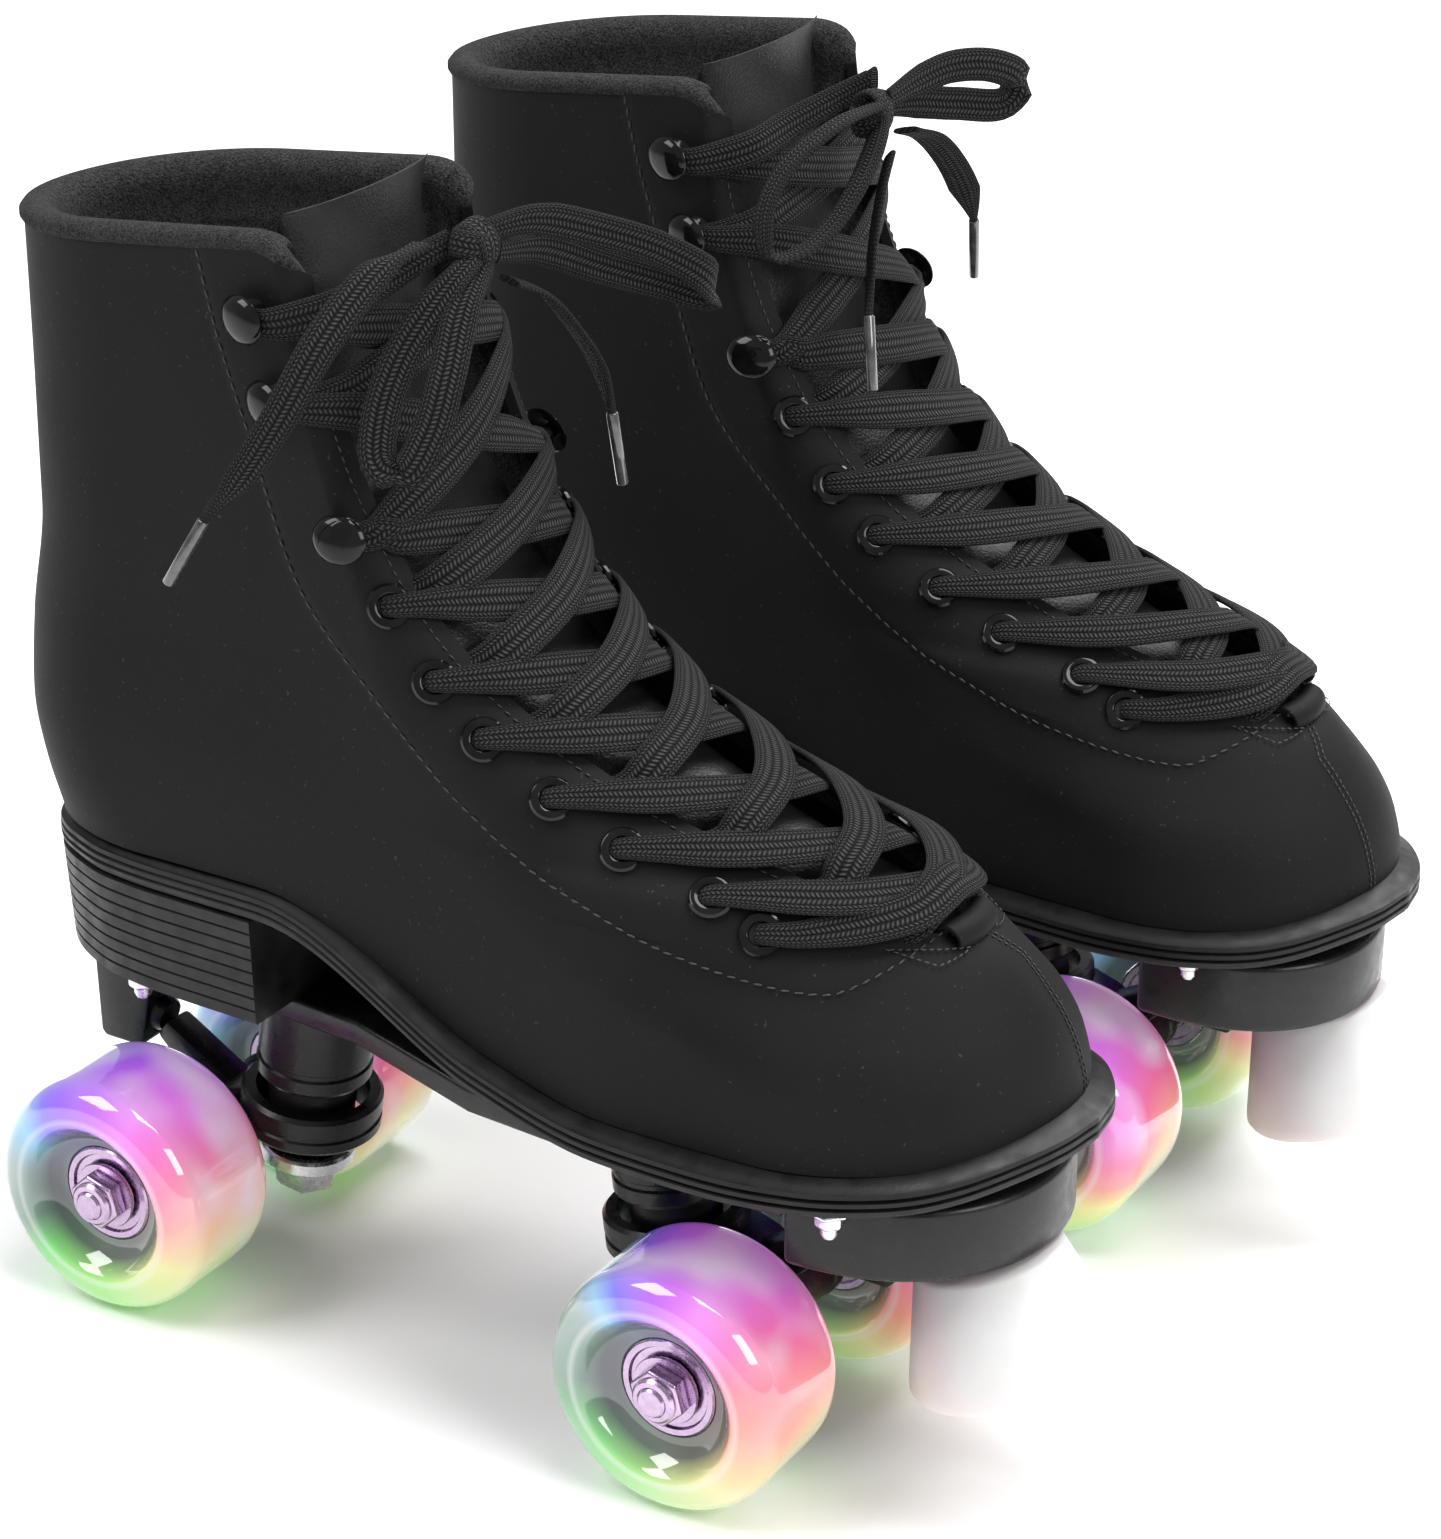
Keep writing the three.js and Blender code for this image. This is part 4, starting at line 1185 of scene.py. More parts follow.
def toe_row(offset):
    result = []
    for i in range(60):
        z = 121.4 - (121.4 - 86) * i / 59
        y = TOE_SEAM_SIDE * min(1.0, (124 - z) / 8) + offset
        result.append((front_point(z, y) + front_normal(z, y) * 0.15, front_normal(z, y)))
    return result


def on_front(corners):
    line = []
    for (z0, y0), (z1, y1) in zip(corners, corners[1:]):
        for i in range(8):
            z, y = z0 + (z1 - z0) * i / 8, y0 + (y1 - y0) * i / 8
            line.append((front_point(z, y) + front_normal(z, y) * 0.75, front_normal(z, y)))
    return line


sewn("right_side_stitches", [seam_row(-1), seam_row(1)])
sewn("right_facing_stitches", [facing_row(-1), facing_row(1)], pitch=2.2, length=1.5, thick=0.4)
sewn("right_toe_stitches", [toe_row(-0.7), toe_row(0.7)], pitch=1.5, length=1.15, thick=0.42)
triangles = [on_front([(120.6, s * 5), (122.6, s * 17), (119.4, s * 13), (120.6, s * 5)])
             for s in (-1, 1)]
sewn("right_bar_tacks", triangles, pitch=1.6, length=1.2, thick=0.4)


# %% Lace keeper tab
def tab_at(column, row):
    """A small rolled strap of leather across the end of the throat."""
    y, turn = -7.0 + 14 * column / 24, math.pi * (-0.1 + 1.2 * row / 14)
    base, out = front_point(122.6, y), front_normal(122.6, y)
    ahead = Vector((0, 1, 0)).cross(out).normalized()
    return base + out * (0.6 + 2.6 * math.sin(turn)) + ahead * 3.2 * math.cos(turn)


tab = draped("right_lace_keeper", 24, 14, tab_at)
apply_modifier(tab, "SOLIDIFY", thickness=1.0 * MM, offset=-1)
tidy_faces(tab)
soften(tab, 0.2)
finished(tab, NUBUCK, 50)
fit_out(tab, "boot")
print("stitching done")

# %% [markdown]
# ## Laced rows
# The lace starts as a straight bar over the two lowest eyelets. Each run then comes up round one
# edge of the throat, crosses over, and goes down through the next eyelet on the other side. The
# runs that start on the little toe's side lie on top of the others.

# %% Laced rows
ROW_WIDTH, RUN_POINTS = 9.0, 36


def run_between(name, stations):
    """A lace run through stations of (point, direction it faces, height above it, width)."""
    points = spline([point + out * height for point, out, height, _ in stations], RUN_POINTS)
    shares = spline([Vector((i * ROW_WIDTH, w * ROW_WIDTH, 0))
                     for i, (_, _, _, w) in enumerate(stations)], RUN_POINTS)
    faces = spline([out * 40 for _, out, _, _ in stations], RUN_POINTS)
    widths = [ROW_WIDTH * max(0.3, s.y / ROW_WIDTH) * MM for s in shares]
    thick = [LACE_THICK * (1.25 - 0.25 * min(1.0, s.y / ROW_WIDTH)) * MM for s in shares]
    return flat_tube(name, [place("right", p) for p in points], widths, thick,
                     [out.normalized() for out in faces])


def on_row(z, y, height, width):
    return front_point(z, y), front_normal(z, y), height, width


def at_hook(i, side, ahead, height, width):
    """A station near a hook, so far ahead of it along the boot's side."""
    point, out = side_point(HOOK_X[i] + ahead, EYELETS[i][0], side)
    return point, out, height, width


runs = []
first_z, first_y = EYELETS[0]
bar = [on_row(first_z, -first_y - 0.5, -1.2, 0.42), on_row(first_z, -first_y, 1.3, 0.62),
       on_row(first_z, -first_y + 3.6, 2.5, 0.9), on_row(first_z + 1, -10, 4.2, 1),
       on_row(first_z + 2, 0, 5.2, 1)]
bar += [on_row(z, -y, h, w) for z, y, h, w in
        ((first_z + 1, -10, 4.2, 1), (first_z, -first_y + 3.6, 2.5, 0.9),
         (first_z, -first_y, 1.3, 0.62), (first_z, -first_y - 0.5, -1.2, 0.42))]
runs.append(run_between("bar", bar))
for i, ((low_z, _), (high_z, high_y)) in enumerate(zip(EYELETS, EYELETS[1:])):
    for side in (-1, 1):
        over = 2.3 if side < 0 else 0.0
        edge, rise = throat_at(low_z + 1.5), high_z - low_z
        if i < HOOKS_FROM:
            stations = [on_row(low_z + rise * 0.05, side * (edge + 4), -1.6, 0.9),
                        on_row(low_z + rise * 0.1, side * (edge - 0.5), 1.0, 1)]
        else:
            stations = [at_hook(i, side, -1.5, 2.0, 0.5), at_hook(i, side, 3, 2.2, 0.8),
                        on_row(low_z + rise * 0.1, side * (edge - 1), 2.6, 1)]
        stations += [on_row(low_z + rise * 0.22, side * edge * 0.72, 2.6 + over * 0.6, 1),
                     on_row(low_z + rise * 0.5, 0, 2.8 + over, 1)]
        if i + 1 < HOOKS_FROM:
            stations += [on_row(low_z + rise * 0.8, -side * high_y * 0.55, 3.1 + over * 0.4, 1),
                         on_row(low_z + rise * 0.97, -side * (high_y - 3.4), 2.5, 0.9),
                         on_row(high_z, -side * (high_y + 0.4), 1.3, 0.62),
                         on_row(high_z, -side * (high_y + 0.9), -1.2, 0.42)]
        else:
            stations += [on_row(low_z + rise * 0.8, -side * high_y * 0.6, 3.0 + over * 0.4, 1),
                         on_row(low_z + rise * 0.93, -side * (high_y - 4), 2.8, 0.95),
                         at_hook(i + 1, -side, 4.5, 2.4, 0.75),
                         at_hook(i + 1, -side, -1.0, 2.2, 0.45)]
        runs.append(run_between(f"run_{i}_{side}", stations))

# %% Knot
knot_at = Vector(KNOTS["right"])
for side in (-1, 1):
    z = EYELETS[-1][0]
    out = front_normal(z, side * 16)
    reach = knot_at + Vector((0, side * 5, -1))
    last = [at_hook(9, side, -1, 2.0, 0.5), at_hook(9, side, 5, 3.0, 0.8),
            on_row(z + 2, side * 25, 3.6, 0.85), on_row(z + 5, side * 14, 4.5, 0.8),
            (reach, out, 0, 0.7), (knot_at + Vector((3, side, 1)), out, 0, 0.6)]
    runs.append(run_between(f"to_knot_{side}", last))
laced = together("right_laced_rows", runs)
fit_out(laced, "boot", ["lacing"])


KNOT_BANDS, BAND_STEPS = ((0.15, (3.6, 4.6), 6.4), (1.25, (3.4, 5.4), 5.6)), 36


def knot(foot):
    """The crossed middle of the bow: two bands of lace, each wrapped round at its own tilt."""
    centre = Vector(KNOTS[foot]) + Vector((6.4, 2, 0))
    made = []
    for index, (tilt, reach, width) in enumerate(KNOT_BANDS):
        spots, outs = [], []
        spin = Matrix.Rotation(tilt, 3, "X")
        for k in range(BAND_STEPS + 1):
            turn = math.tau * k / BAND_STEPS
            flat = Vector((math.cos(turn) * reach[0], 0, math.sin(turn) * reach[1]))
            spots.append(place(foot, centre + spin @ flat))
            out = spin @ Vector((math.cos(turn), 0, math.sin(turn)))
            outs.append(Vector((out.x, out.y * TOWARDS_BIG_TOE[foot], out.z)))
        made.append(flat_tube(f"band_{index}", spots, [width * MM] * len(spots),
                              [1.7 * MM] * len(spots), outs))
    piece = together(f"{foot}_bow_knot", made)
    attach(piece, f"{foot}_boot")
    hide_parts(f"{foot}_lace_bow")


for foot in ("right", "left"):
    knot(foot)
print("lacing done")

# %% [markdown]
# ## Eyelets and hooks
# An eyelet is a rolled ring of glossy black enamel. A hook is a domed disc that stands on a foot,
# curled back towards the heel, so that the lace slips behind it. Both are spun from a profile.

# %% Spun pieces
def spun(name, profile, steps=48, closed=True):
    """A profile of (radius, height) in millimetres, drawn point by point and spun round Z."""
    bpy.ops.object.select_all(action="DESELECT")
    first = profile[0]
    bpy.ops.mesh.primitive_plane_add(size=0.01 * MM, location=(first[0] * MM, 0, first[1] * MM))
    piece = started(name)
    bpy.ops.object.transform_apply(location=True)
    bpy.ops.object.mode_set(mode="EDIT")
    bpy.ops.mesh.select_mode(type="VERT")
    bpy.ops.mesh.select_all(action="SELECT")
    bpy.ops.mesh.merge(type="CENTER")
    path = profile[1:] + ([first] if closed else [])
    at = first
    for spot in path:
        bpy.ops.mesh.extrude_vertices_move(TRANSFORM_OT_translate={
            "value": ((spot[0] - at[0]) * MM, 0, (spot[1] - at[1]) * MM)})
        at = spot
    bpy.ops.mesh.select_all(action="SELECT")
    bpy.ops.mesh.spin(steps=steps, angle=math.tau, center=(0, 0, 0), axis=(0, 0, 1))
    bpy.ops.mesh.select_all(action="SELECT")
    bpy.ops.mesh.remove_doubles(threshold=0.02 * MM)
    bpy.ops.mesh.normals_make_consistent(inside=False)
    bpy.ops.object.mode_set(mode="OBJECT")
    return piece


def stood(piece, at, up=(0, 0, 1), ahead=None):
    """Moves a piece drawn round the origin to a spot of the right skate, its Z along up."""
    z_axis = Vector(up).normalized()
    x_axis = Vector(ahead) if ahead else z_axis.orthogonal()
    x_axis = (x_axis - z_axis * x_axis.dot(z_axis)).normalized()
    turn = Matrix((x_axis, z_axis.cross(x_axis), z_axis)).transposed().to_4x4()
    piece.matrix_world = Matrix.Translation(place("right", at)) @ turn
    return piece


def copied(piece, name):
    copy = piece.copy()
    copy.data = piece.data.copy()
    copy.name = copy.data.name = name
    bpy.context.scene.collection.objects.link(copy)
    return copy


# %% Eyelets
eyelet = spun("eyelet", [(2.35, -0.6), (2.3, 0.3), (2.6, 0.9), (3.3, 1.15), (4.1, 0.95),
                         (4.55, 0.35), (4.5, -0.2), (4.0, -0.5)], 36)
eyelet.data.materials.append(ENAMEL)
hole = spun("hole", [(0, 0.02), (2.6, 0.05), (2.6, -0.5), (0, -0.5)], 24, closed=False)
hole.data.materials.append(EDGE)
rings = []
for z, y in EYELETS[:HOOKS_FROM]:
    for side in (-1, 1):
        out = front_normal(z, side * y)
        at = front_point(z, side * y) + out * 0.7
        rings.append(finished(stood(copied(eyelet, "ring"), at, out), ENAMEL))
        rings.append(finished(stood(copied(hole, "inside"), at, out), EDGE))
fit_out(together("right_eyelets", rings), "boot")

# %% Hooks
dome = spun("dome", [(0, 1.5), (2.2, 1.35), (4.0, 0.8), (5.1, 0.0), (5.3, -0.5), (4.6, -0.8),
                     (2.4, -0.3), (0, -0.1)], 40, closed=False)
foot_post = spun("post", [(0, 3.6), (1.6, 3.6), (1.7, 1.2), (2.8, 0.4), (3.6, 0.0), (0, -0.4)], 24,
                 closed=False)
hooks = []
for i in range(HOOKS_FROM, len(EYELETS)):
    for side in (-1, 1):
        at, out = side_point(HOOK_X[i], EYELETS[i][0], side, 0.6)
        heelward = (Vector((-1, 0, 0)) + out * out.x).normalized()
        disc = copied(dome, "disc")
        disc.scale = (1.1, 0.95, 1.0)
        alone(disc)
        bpy.ops.object.transform_apply(scale=True)
        lean = (out + heelward * 0.2).normalized()
        hooks.append(finished(stood(disc, at + out * 4.0 + heelward * 1.0, lean, heelward), ENAMEL))
        hooks.append(finished(stood(copied(foot_post, "foot"), at, out), ENAMEL))
fit_out(together("right_hooks", hooks), "boot")
for used in (eyelet, hole, dome, foot_post):
    bpy.data.objects.remove(used)
print("eyelets and hooks done")

# %% [markdown]
# ## Outsole
# The rubber sole follows the arch: high under the heel, low under the ball of the foot. Its
# edge has a groove below the upper and three fine ridges. The section's points run in, down the
# edge and back in underneath, and the grid carries that section once round the foot.

# %% Sole section
SOLE_THICK = 7.5
EDGE_PROFILE = [(1.0, -0.1), (0.42, 0.0), (0.1, 0.0), (0.06, -0.6), (0.035, -0.9), (0.02, -1.3),
                (0.0, -1.5), (-0.004, -2.4), (0.014, -2.75), (0.014, -3.05), (-0.004, -3.4),
                (-0.006, -4.2), (0.012, -4.5), (0.012, -4.8), (-0.006, -5.15), (-0.004, -5.9),
                (0.012, -6.2), (0.016, -6.9), (0.05, -7.5), (0.4, -7.5), (1.0, -7.5)]
SOLE_COLUMNS, SOLE_CENTRE = 200, 18.0


def sole_outline(turn):
    """Where the sole's edge is at a turn about the foot, and how wide it is there."""
    first, last = SOLE_HALF[0][0], SOLE_HALF[-1][0]
    x = last - (last - first) * (1 - math.cos(turn)) / 2
    return x, (1 if turn > math.pi else -1) * along(SOLE_HALF, x)


def sole_at(column, row):
    x, half = sole_outline(math.tau * column / SOLE_COLUMNS)
    inwards, drop = EDGE_PROFILE[row]
    if inwards > 0.3:
        x_in = x + (max(-70.0, min(100.0, x)) - x) * inwards * 0.96
    else:
        x_in = x + (SOLE_CENTRE - x) * inwards * 0.3
    return Vector((x_in, middle_line(x) + half * (1 - inwards), sole_top(x) + drop))


outsole = draped("right_rubber_sole", SOLE_COLUMNS, len(EDGE_PROFILE) - 1, sole_at)
tidy_faces(outsole, 1e-5)
finished(outsole, RUBBER, 48)
fit_out(outsole, "boot", ["outsole"])

# %% [markdown]
# ## Heel
# The heel block is stacked in thin layers, which show as grooves a few millimetres apart. It
# narrows slightly towards the plate and has a flat breast at the front.

# %% Heel block
HEEL_FRONT, HEEL_LOW = -36.0, 74.3
HEEL_COLUMNS, LAYERS, GROOVE = 90, 8, 0.45
BREAST, HEEL_TAPER, HEEL_MIDDLE = 0.2, 1.2, -68


def heel_rows():
    rows = []
    for layer in range(LAYERS):
        low, high = layer / LAYERS, (layer + 1) / LAYERS
        rows += [(low, GROOVE), (low + 0.006, GROOVE), (low + 0.016, 0.0), (high - 0.01, 0.0)]
    return rows + [(1.0, GROOVE)]


HEEL_ROWS = heel_rows()


def heel_top(x):
    return sole_top(x) - SOLE_THICK - 0.1


def heel_at(column, row):
    """The first and last rows close the block; the breast takes the share BREAST of the turn."""
    if row in (0, len(HEEL_ROWS) + 1):
        return Vector((HEEL_MIDDLE, 0, HEEL_LOW if row == 0 else heel_top(HEEL_MIDDLE)))
    share = column / HEEL_COLUMNS
    back = SOLE_HALF[0][0]
    level, groove = HEEL_ROWS[row - 1]
    if share < BREAST / 2 or share > 1 - BREAST / 2:
        t = (share if share < 0.5 else share - 1) / (BREAST / 2)
        x = HEEL_FRONT
        y = -t * along(SOLE_HALF, HEEL_FRONT)
        groove = 0.0
    else:
        turn = math.pi * (share - BREAST / 2) / (1 - BREAST)
        x = back + (HEEL_FRONT - back) * abs(math.cos(turn)) ** 1.35
        y = (-1 if share < 0.5 else 1) * along(SOLE_HALF, x)
    z = HEEL_LOW + (heel_top(x) - HEEL_LOW) * level
    taper = HEEL_TAPER * (1 - level)
    y -= math.copysign(min(abs(y), taper * 0.8 + groove), y) if abs(y) > 1 else 0
    x += (taper + groove) * (HEEL_FRONT - x) / (HEEL_FRONT - back) if x < HEEL_FRONT else 0
    return Vector((x, y, z))


heel = draped("right_stacked_heel", HEEL_COLUMNS, len(HEEL_ROWS) + 1, heel_at)
tidy_faces(heel, 1e-5)
finished(heel, RUBBER, 30)
fit_out(heel, "boot", ["heel_block"])
print("sole and heel done")

# %% [markdown]
# ## Plate
# The nylon plate is screwed under the sole. It has a deck, a rounded nose that holds the toe
# stop, a round boss over each kingpin and a cup for each hanger's pivot. Each part starts as a
# primitive that is cut, moved and bevelled, and then they are joined.

# %% Plate
KINGPIN_TILT, RING_X, RING_Z = math.radians(7.5), 47.75, 37.0
PIVOT_X, PIVOT_Z = 97.25, 50.0
PLATE_TOP, PLATE_THICK, NOSE_LOW = 74.0, 6.0, 57.5


def kingpin_up(end):
    return Vector((-end * math.sin(KINGPIN_TILT), 0, math.cos(KINGPIN_TILT)))


def on_kingpin(piece, end):
    return stood(piece, (end * RING_X, 0, RING_Z), kingpin_up(end), (1, 0, 0))


def slab(name, corners, low, high, bevel):
    """A level slab with the given outline: a circle primitive moved to it, then extruded."""
    bpy.ops.object.select_all(action="DESELECT")
    bpy.ops.mesh.primitive_circle_add(vertices=len(corners), radius=0.05, fill_type="NGON")
    piece = started(name)
    for vertex, (x, y) in zip(piece.data.vertices, corners):
        vertex.co = place("right", (x, y, low))
    alone(piece)
    bpy.ops.object.mode_set(mode="EDIT")
    bpy.ops.mesh.select_all(action="SELECT")
    bpy.ops.mesh.extrude_region_move(
        TRANSFORM_OT_translate={"value": (0, 0, (high - low) * MM)})
    bpy.ops.mesh.select_all(action="SELECT")
    bpy.ops.mesh.normals_make_consistent(inside=False)
    bpy.ops.object.mode_set(mode="OBJECT")
    soften(piece, bevel, 3)
    return finished(piece, NYLON, 35)


def nose_outline(shrink=0.0):
    corners = []
    for i in range(41):
        turn = -math.pi / 2 + math.pi * i / 40
        x = 92 + (42 - shrink) * math.cos(turn) ** 0.8
        corners.append((x, (34 - shrink) * math.sin(turn) + middle_line(x)))
    return corners


def block(name, corners, half_width_mm, bevel=1.0):
    """A piece with a side outline of (x, z) corners, symmetric about the skate's middle."""
    bpy.ops.object.select_all(action="DESELECT")
    bpy.ops.mesh.primitive_circle_add(vertices=len(corners), radius=0.05, fill_type="NGON")
    piece = started(name)
    for vertex, (x, z) in zip(piece.data.vertices, corners):
        vertex.co = place("right", (x, -half_width_mm, z))
    alone(piece)
    bpy.ops.object.mode_set(mode="EDIT")
    bpy.ops.mesh.select_all(action="SELECT")
    bpy.ops.mesh.extrude_region_move(
        TRANSFORM_OT_translate={"value": (0, 2 * half_width_mm * MM, 0)})
    bpy.ops.mesh.select_all(action="SELECT")
    bpy.ops.mesh.normals_make_consistent(inside=False)
    bpy.ops.object.mode_set(mode="OBJECT")
    soften(piece, bevel, 2)
    return finished(piece, NYLON, 35)


DECK = [(-98, -14), (-60, -17), (-20, -20), (16, -31), (60, -34), (92, -33), (92, 33), (60, 34),
        (16, 31), (-20, 20), (-60, 17), (-98, 14)]
parts = [slab("deck", DECK, PLATE_TOP - PLATE_THICK, PLATE_TOP, 1.2),
         slab("nose", nose_outline(), NOSE_LOW, PLATE_TOP, 1.6),
         slab("nose_foot", nose_outline(3), NOSE_LOW - 0.8, NOSE_LOW + 1, 0.5)]
for end in (-1, 1):
    boss = spun("boss", [(5.6, 8.5), (11.9, 8.5), (12.7, 9.6), (12.7, 12.5), (12.2, 13.0),
                         (12.2, 14.0), (12.7, 14.5), (12.7, 33), (13.6, 34), (5.6, 34)], 48)
    parts.append(finished(on_kingpin(boss, end), NYLON, 35))
    parts.append(block("cup", [(end * (PIVOT_X + x - 1), PIVOT_Z + z) for x, z in
                               ((-5, -9.5), (5, -9.5), (6, -8), (7, 22), (-12, 22), (-6, -8.5))],
                       5.6, 1.6))
fit_out(together("right_sole_plate", parts), "boot", ["plate"])
print("plate done")

# %% [markdown]
# ## Trucks
# A hanger is one casting: a ring round the cushion, an arm to the pivot, and the tube that the
# axle runs through. The kingpin bolt holds the ring between its washer and the plate.

# %% Hangers
TRUCKS = ((-1, "rear"), (1, "front"))


def rod(name, profile, at, direction, steps=36, closed=True):
    return stood(spun(name, profile, steps, closed), at, direction)


def pivot_direction(end):
    return Vector((end * (PIVOT_X - RING_X), 0, PIVOT_Z - RING_Z)).normalized()


for end, place_name in TRUCKS:
    ring = spun("ring", [(12.6, -4.5), (14.9, -4.5), (15.7, -3.6), (15.7, -1.5), (15.2, -1.1),
                         (15.2, -0.3), (15.7, 0.1), (15.7, 3.6), (14.9, 4.5), (12.6, 4.5)], 56)
    tube = rod("tube", [(4.4, -16.3), (6.8, -16.3), (7.5, -15.6), (7.5, -13), (7.0, -12.4),
                        (7.0, 12.4), (7.5, 13), (7.5, 15.6), (6.8, 16.3), (4.4, 16.3)],
               (end * AXLE_X, 0, AXLE_Z), (0, 1, 0))
    web = block("web", [(end * (RING_X + x - 2), z) for x, z in
                        ((13, 33), (13, 41), (22, 38), (30, 32), (25, 21), (18, 26))], 9, 1.2)
    arm = block("arm", [(end * (RING_X + x - 2), z) for x, z in
                        ((20, 37), (31, 33), (42, 44), (39, 48))], 4, 1.2)
    pin = rod("pin", [(0, -11), (3.6, -11), (4.2, -10), (4.2, 1.2), (3.0, 2.4), (0, 2.4)],
              (end * PIVOT_X, 0, PIVOT_Z), pivot_direction(end), 28, False)
    parts = [finished(on_kingpin(ring, end), NYLON, 35), finished(tube, NYLON, 35), web, arm,
             finished(pin, NYLON, 40)]
    fit_out(together(f"right_{place_name}_hanger_casting", parts), f"{place_name}_truck",
            [f"{place_name}_hanger"])
print("hangers done")

# %% [markdown]
# The kingpin is a bolt with a cup washer and a lock nut under the cushion. The cushion is a
# rubber barrel inside the hanger's ring, and it stays with the plate.

# %% Kingpins and cushions
for end, place_name in TRUCKS:
    washer = spun("washer", [(3.6, -13.8), (9.9, -13.8), (10.5, -13.2), (10.5, -10.6), (9.9, -10),
                             (5, -9.6), (3.6, -9.6)], 48)
    nut = spun("nut", [(0, -23), (3.3, -23), (3.5, -21.2), (6.2, -21), (7.2, -19.5), (8, -15.5),
                       (8, -14), (0, -14)], 6, False)
    soften(nut, 0.5)
    shank = spun("shank", [(0, -14), (4.9, -14), (4.9, 20), (0, 20)], 28, False)
    bolt = together(f"right_{place_name}_kingpin_bolt",
                    [finished(on_kingpin(p, end), STEEL, 35) for p in (washer, nut, shank)])
    fit_out(bolt, "boot", [f"{place_name}_kingpin"])
    rubber_ring = spun("ring", [(5.3, -9.2), (8.2, -9.2), (9.0, -8.2), (9.8, -3), (9.6, 0),
                                (9.8, 3), (9.0, 7.4), (8.2, 8.1), (5.3, 8.1)], 40)
    rubber_ring = finished(on_kingpin(rubber_ring, end), RUBBER, 40)
    rubber_ring.name = rubber_ring.data.name = f"right_{place_name}_cushion_ring"
    fit_out(rubber_ring, "boot", [f"{place_name}_cushion"])

# %% [markdown]
# An axle is a plain rod with a lock nut on each end. The nut is a six-sided spin with its edges
# bevelled, and the collar above it and the threaded tip are spun too.

# %% Axles
WHEEL_WIDTH, NUT_HEIGHT = 31.5, 6
AXLE_REACH = WHEEL_Y + WHEEL_WIDTH / 2 + 0.5


def axle_end(end, side):
    """The lock nut, its collar and the threaded tip on one end of the axle."""
    out = Vector((0, side, 0))
    at = Vector((end * AXLE_X, 0, AXLE_Z)) + out * (AXLE_REACH - NUT_HEIGHT)
    hexagon = spun("hexagon", [(0, 0.6), (6.1, 0.6), (6.4, 1.0), (6.4, 3.8), (5.9, 4.3),
                               (0, 4.3)], 6, False)
    soften(hexagon, 0.35)
    collar = spun("collar", [(3.0, 4.2), (5.0, 4.3), (5.0, 4.9), (4.4, 5.5), (3.4, 5.6),
                             (3.0, 5.0)], 36)
    tip = spun("tip", [(0, 6.2), (2.8, 6.2), (3.2, 5.8), (2.9, 5.4), (3.2, 5.0), (2.9, 4.6),
                       (3.2, 4.2), (0, 4.0)], 28, False)
    flat = spun("flat", [(4.1, -0.1), (7.4, -0.1), (7.6, 0.2), (7.4, 0.6), (4.1, 0.6)], 36)
    return [finished(stood(p, at, out), TINTED, 32) for p in (hexagon, collar, tip, flat)]


for end, place_name in TRUCKS:
    shaft = rod("shaft", [(0, -AXLE_REACH + 5), (3.9, -AXLE_REACH + 5), (3.9, AXLE_REACH - 5),
                          (0, AXLE_REACH - 5)], (end * AXLE_X, 0, AXLE_Z), (0, 1, 0), 28, False)
    axle = together(f"right_{place_name}_axle_and_nuts",
                    [finished(shaft, STEEL)] + axle_end(end, -1) + axle_end(end, 1))
    fit_out(axle, f"{place_name}_truck", [f"{place_name}_axle"])
print("trucks done")

# %% [markdown]
# ## Wheels
# Each wheel is cast in clear urethane round a pair of bearings, with a deep recess in each face.
# The profile is spun once, and each copy stores how far every point lies from its own hub, which
# is what the glow is drawn from.

# %% Wheels
def store_hub_offsets(piece, hub):
    offsets = piece.data.attributes.get("from_hub") or piece.data.attributes.new(
        "from_hub", "FLOAT_VECTOR", "POINT")
    for vertex, entry in zip(piece.data.vertices, offsets.data):
        entry.vector = vertex.co - hub


half = WHEEL_WIDTH / 2
face = [(11.3, half - 6.3), (12.2, half - 6.3), (13.4, half - 5.9), (15.4, half - 4.4),
        (16.9, half - 2.3), (17.6, half - 0.8), (18.5, half - 0.1), (20.0, half),
        (21.2, half - 0.25)]
rim = [(21.2 + 5.8 * math.sin(a), half - 6.9 + 6.65 * math.cos(a))
       for a in (math.pi / 2 * k / 8 for k in range(1, 9))]
profile = face + rim + [(27.0, 5), (27.0, 0), (27.0, -5)]
profile += [(r, -h) for r, h in reversed(face + rim)]
core = spun("core", profile, 72)

bearing = spun("bearing", [(4.3, 7.0), (5.6, 7.0), (6.0, 7.5), (6.6, 7.5), (6.9, 7.0), (9.0, 6.9),
                           (9.4, 7.5), (10.6, 7.6), (11.0, 7.2), (11.0, 2.8), (4.3, 2.8)], 48)
for end, place_name in TRUCKS:
    for side, side_name in ((-1, "outer"), (1, "inner")):
        hub = Vector((end * AXLE_X, side * WHEEL_Y, AXLE_Z))
        name = f"{place_name}_{side_name}"
        tyre = finished(stood(copied(core, f"right_{name}_cast_wheel"), hub, (0, 1, 0), (1, 0, 0)),
                        URETHANE, 60)
        for foot, own in zip(("right", "left"), fit_out(tyre, f"{name}_wheel",
                                                        [f"{name}_wheel"])):
            store_hub_offsets(own, place(foot, hub))
        pair = []
        for way in (-1, 1):
            at = hub + Vector((0, way * 2.2, 0))
            pair.append(finished(stood(copied(bearing, "half"), at, (0, way, 0)), TINTED, 35))
        fit_out(together(f"right_{name}_bearing_pair", pair), f"{name}_wheel",
                [f"{name}_bearings"])
for used in (core, bearing):
    bpy.data.objects.remove(used)
print("wheels done")

# %% [markdown]
# ## Toe stop
# The toe stop is a milky cone that widens to the floor, on a threaded stem in the plate's nose.

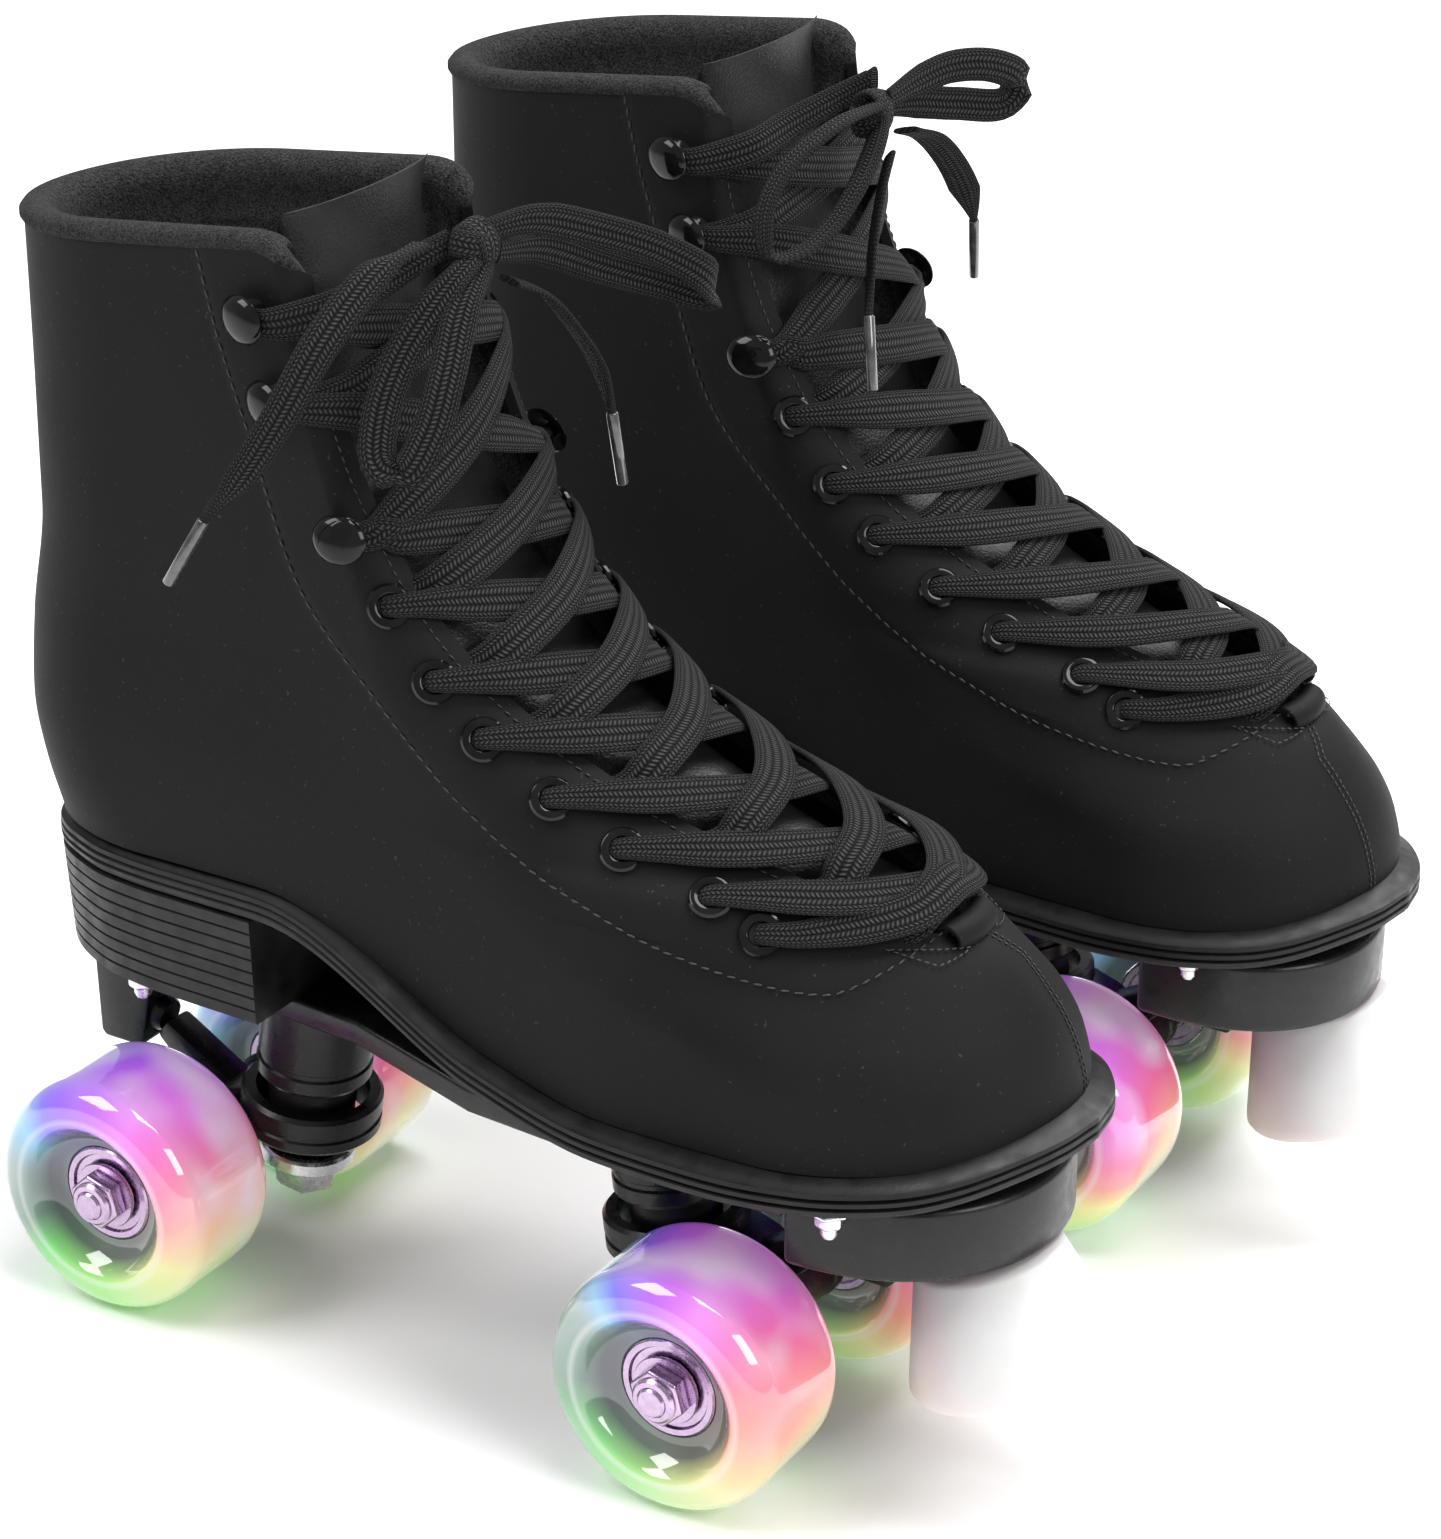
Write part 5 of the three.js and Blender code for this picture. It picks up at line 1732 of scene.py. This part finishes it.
# %% Toe stop
STOP_TILT, STOP_AT = math.radians(18), (121, 0, 53)
stop_up = (-math.sin(STOP_TILT), 0, math.cos(STOP_TILT))
stop = spun("right_toe_stop_cone", [(8.4, 0), (14.6, 0), (15.7, -0.9), (22.2, -22.6), (22.5, -24.2),
                                    (21.9, -25.4), (20.4, -26), (0, -26), (0, -8), (8.4, -8)], 64)
fit_out(finished(stood(stop, STOP_AT, stop_up, (1, 0, 0)), MILKY, 40), "boot",
        ["toe_stop"])
THREAD_TURNS, THREAD_PITCH = 16, 1.5
thread_profile = [(0, -7.4), (7.2, -7.4)]
for i in range(THREAD_TURNS):
    thread_profile += [(7.8, -6.6 + i * THREAD_PITCH), (7.1, -5.85 + i * THREAD_PITCH)]
stem = spun("right_stop_stem_thread", thread_profile + [(0, 17)], 32, False)
fit_out(finished(stood(stem, STOP_AT, stop_up, (1, 0, 0)), STEEL, 30), "boot",
        ["toe_stop_stem"])

# %% [markdown]
# Four screws with their nuts hold the plate: two under the ball of the foot and two under the heel.

# %% Screws under the sole
SCREWS = ((104, -34.6), (104, 34.6), (-72, -26), (-72, 26))
screws = []
for x, y in SCREWS:
    top = sole_top(x) - SOLE_THICK if x > 0 else HEEL_LOW
    shank = spun("shank", [(0, 1), (1.9, 1), (1.9, -5.2), (1.4, -6.2), (0, -6.2)], 20, False)
    head = spun("head", [(0, 0.3), (4.3, 0.3), (4.6, -0.4), (3.8, -1.0), (3.1, -1.1), (3.1, -3.2),
                         (2.6, -3.8), (0, -3.9)], 6, False)
    soften(head, 0.3)
    screws += [finished(stood(p, (x, y, top), (0, 0, 1)), STEEL, 32) for p in (shank, head)]
fit_out(together("right_plate_screws", screws), "boot")
print("all pieces made")

# %% [markdown]
# ## Light and floor
# A plain white floor, an even white sky and big soft lamps, as in a product studio. The lamp above
# lights the toes and the vamp more than the sides, which keeps the black leather's form.

# %% Studio
bpy.ops.object.select_all(action="DESELECT")
bpy.ops.mesh.primitive_plane_add(size=8, location=(0, 0, ORIGIN["right"].z - 0.0004))
floor = started("floor")
floor_shader = Shader("floor", Roughness=0.6)
floor_shader.surface.inputs["Base Color"].default_value = grey(0.93)
floor.data.materials.append(floor_shader.material)

world = bpy.data.worlds.new("studio")
world.use_nodes = True
world.node_tree.nodes["Background"].inputs["Color"].default_value = (1, 1, 1, 1)
world.node_tree.nodes["Background"].inputs["Strength"].default_value = 0.45
bpy.context.scene.world = world
bpy.context.scene.view_settings.view_transform = "Standard"


LAMP_TARGET = Vector((0, 0, 0.12))


def lamp(name, at, size, power):
    data = bpy.data.lights.new(name, "AREA")
    data.shape, data.size, data.energy = "SQUARE", size, power
    light = bpy.data.objects.new(name, data)
    bpy.context.scene.collection.objects.link(light)
    light.location = at
    light.rotation_euler = (LAMP_TARGET - Vector(at)).to_track_quat("-Z", "Y").to_euler()


lamp("key", (-0.9, -0.9, 1.5), 0.9, 20)
lamp("top", (0.35, 0.25, 1.7), 1.0, 34)
lamp("side", (1.3, -0.3, 0.9), 0.7, 12)
lamp("back", (0.2, 1.3, 1.2), 0.9, 16)
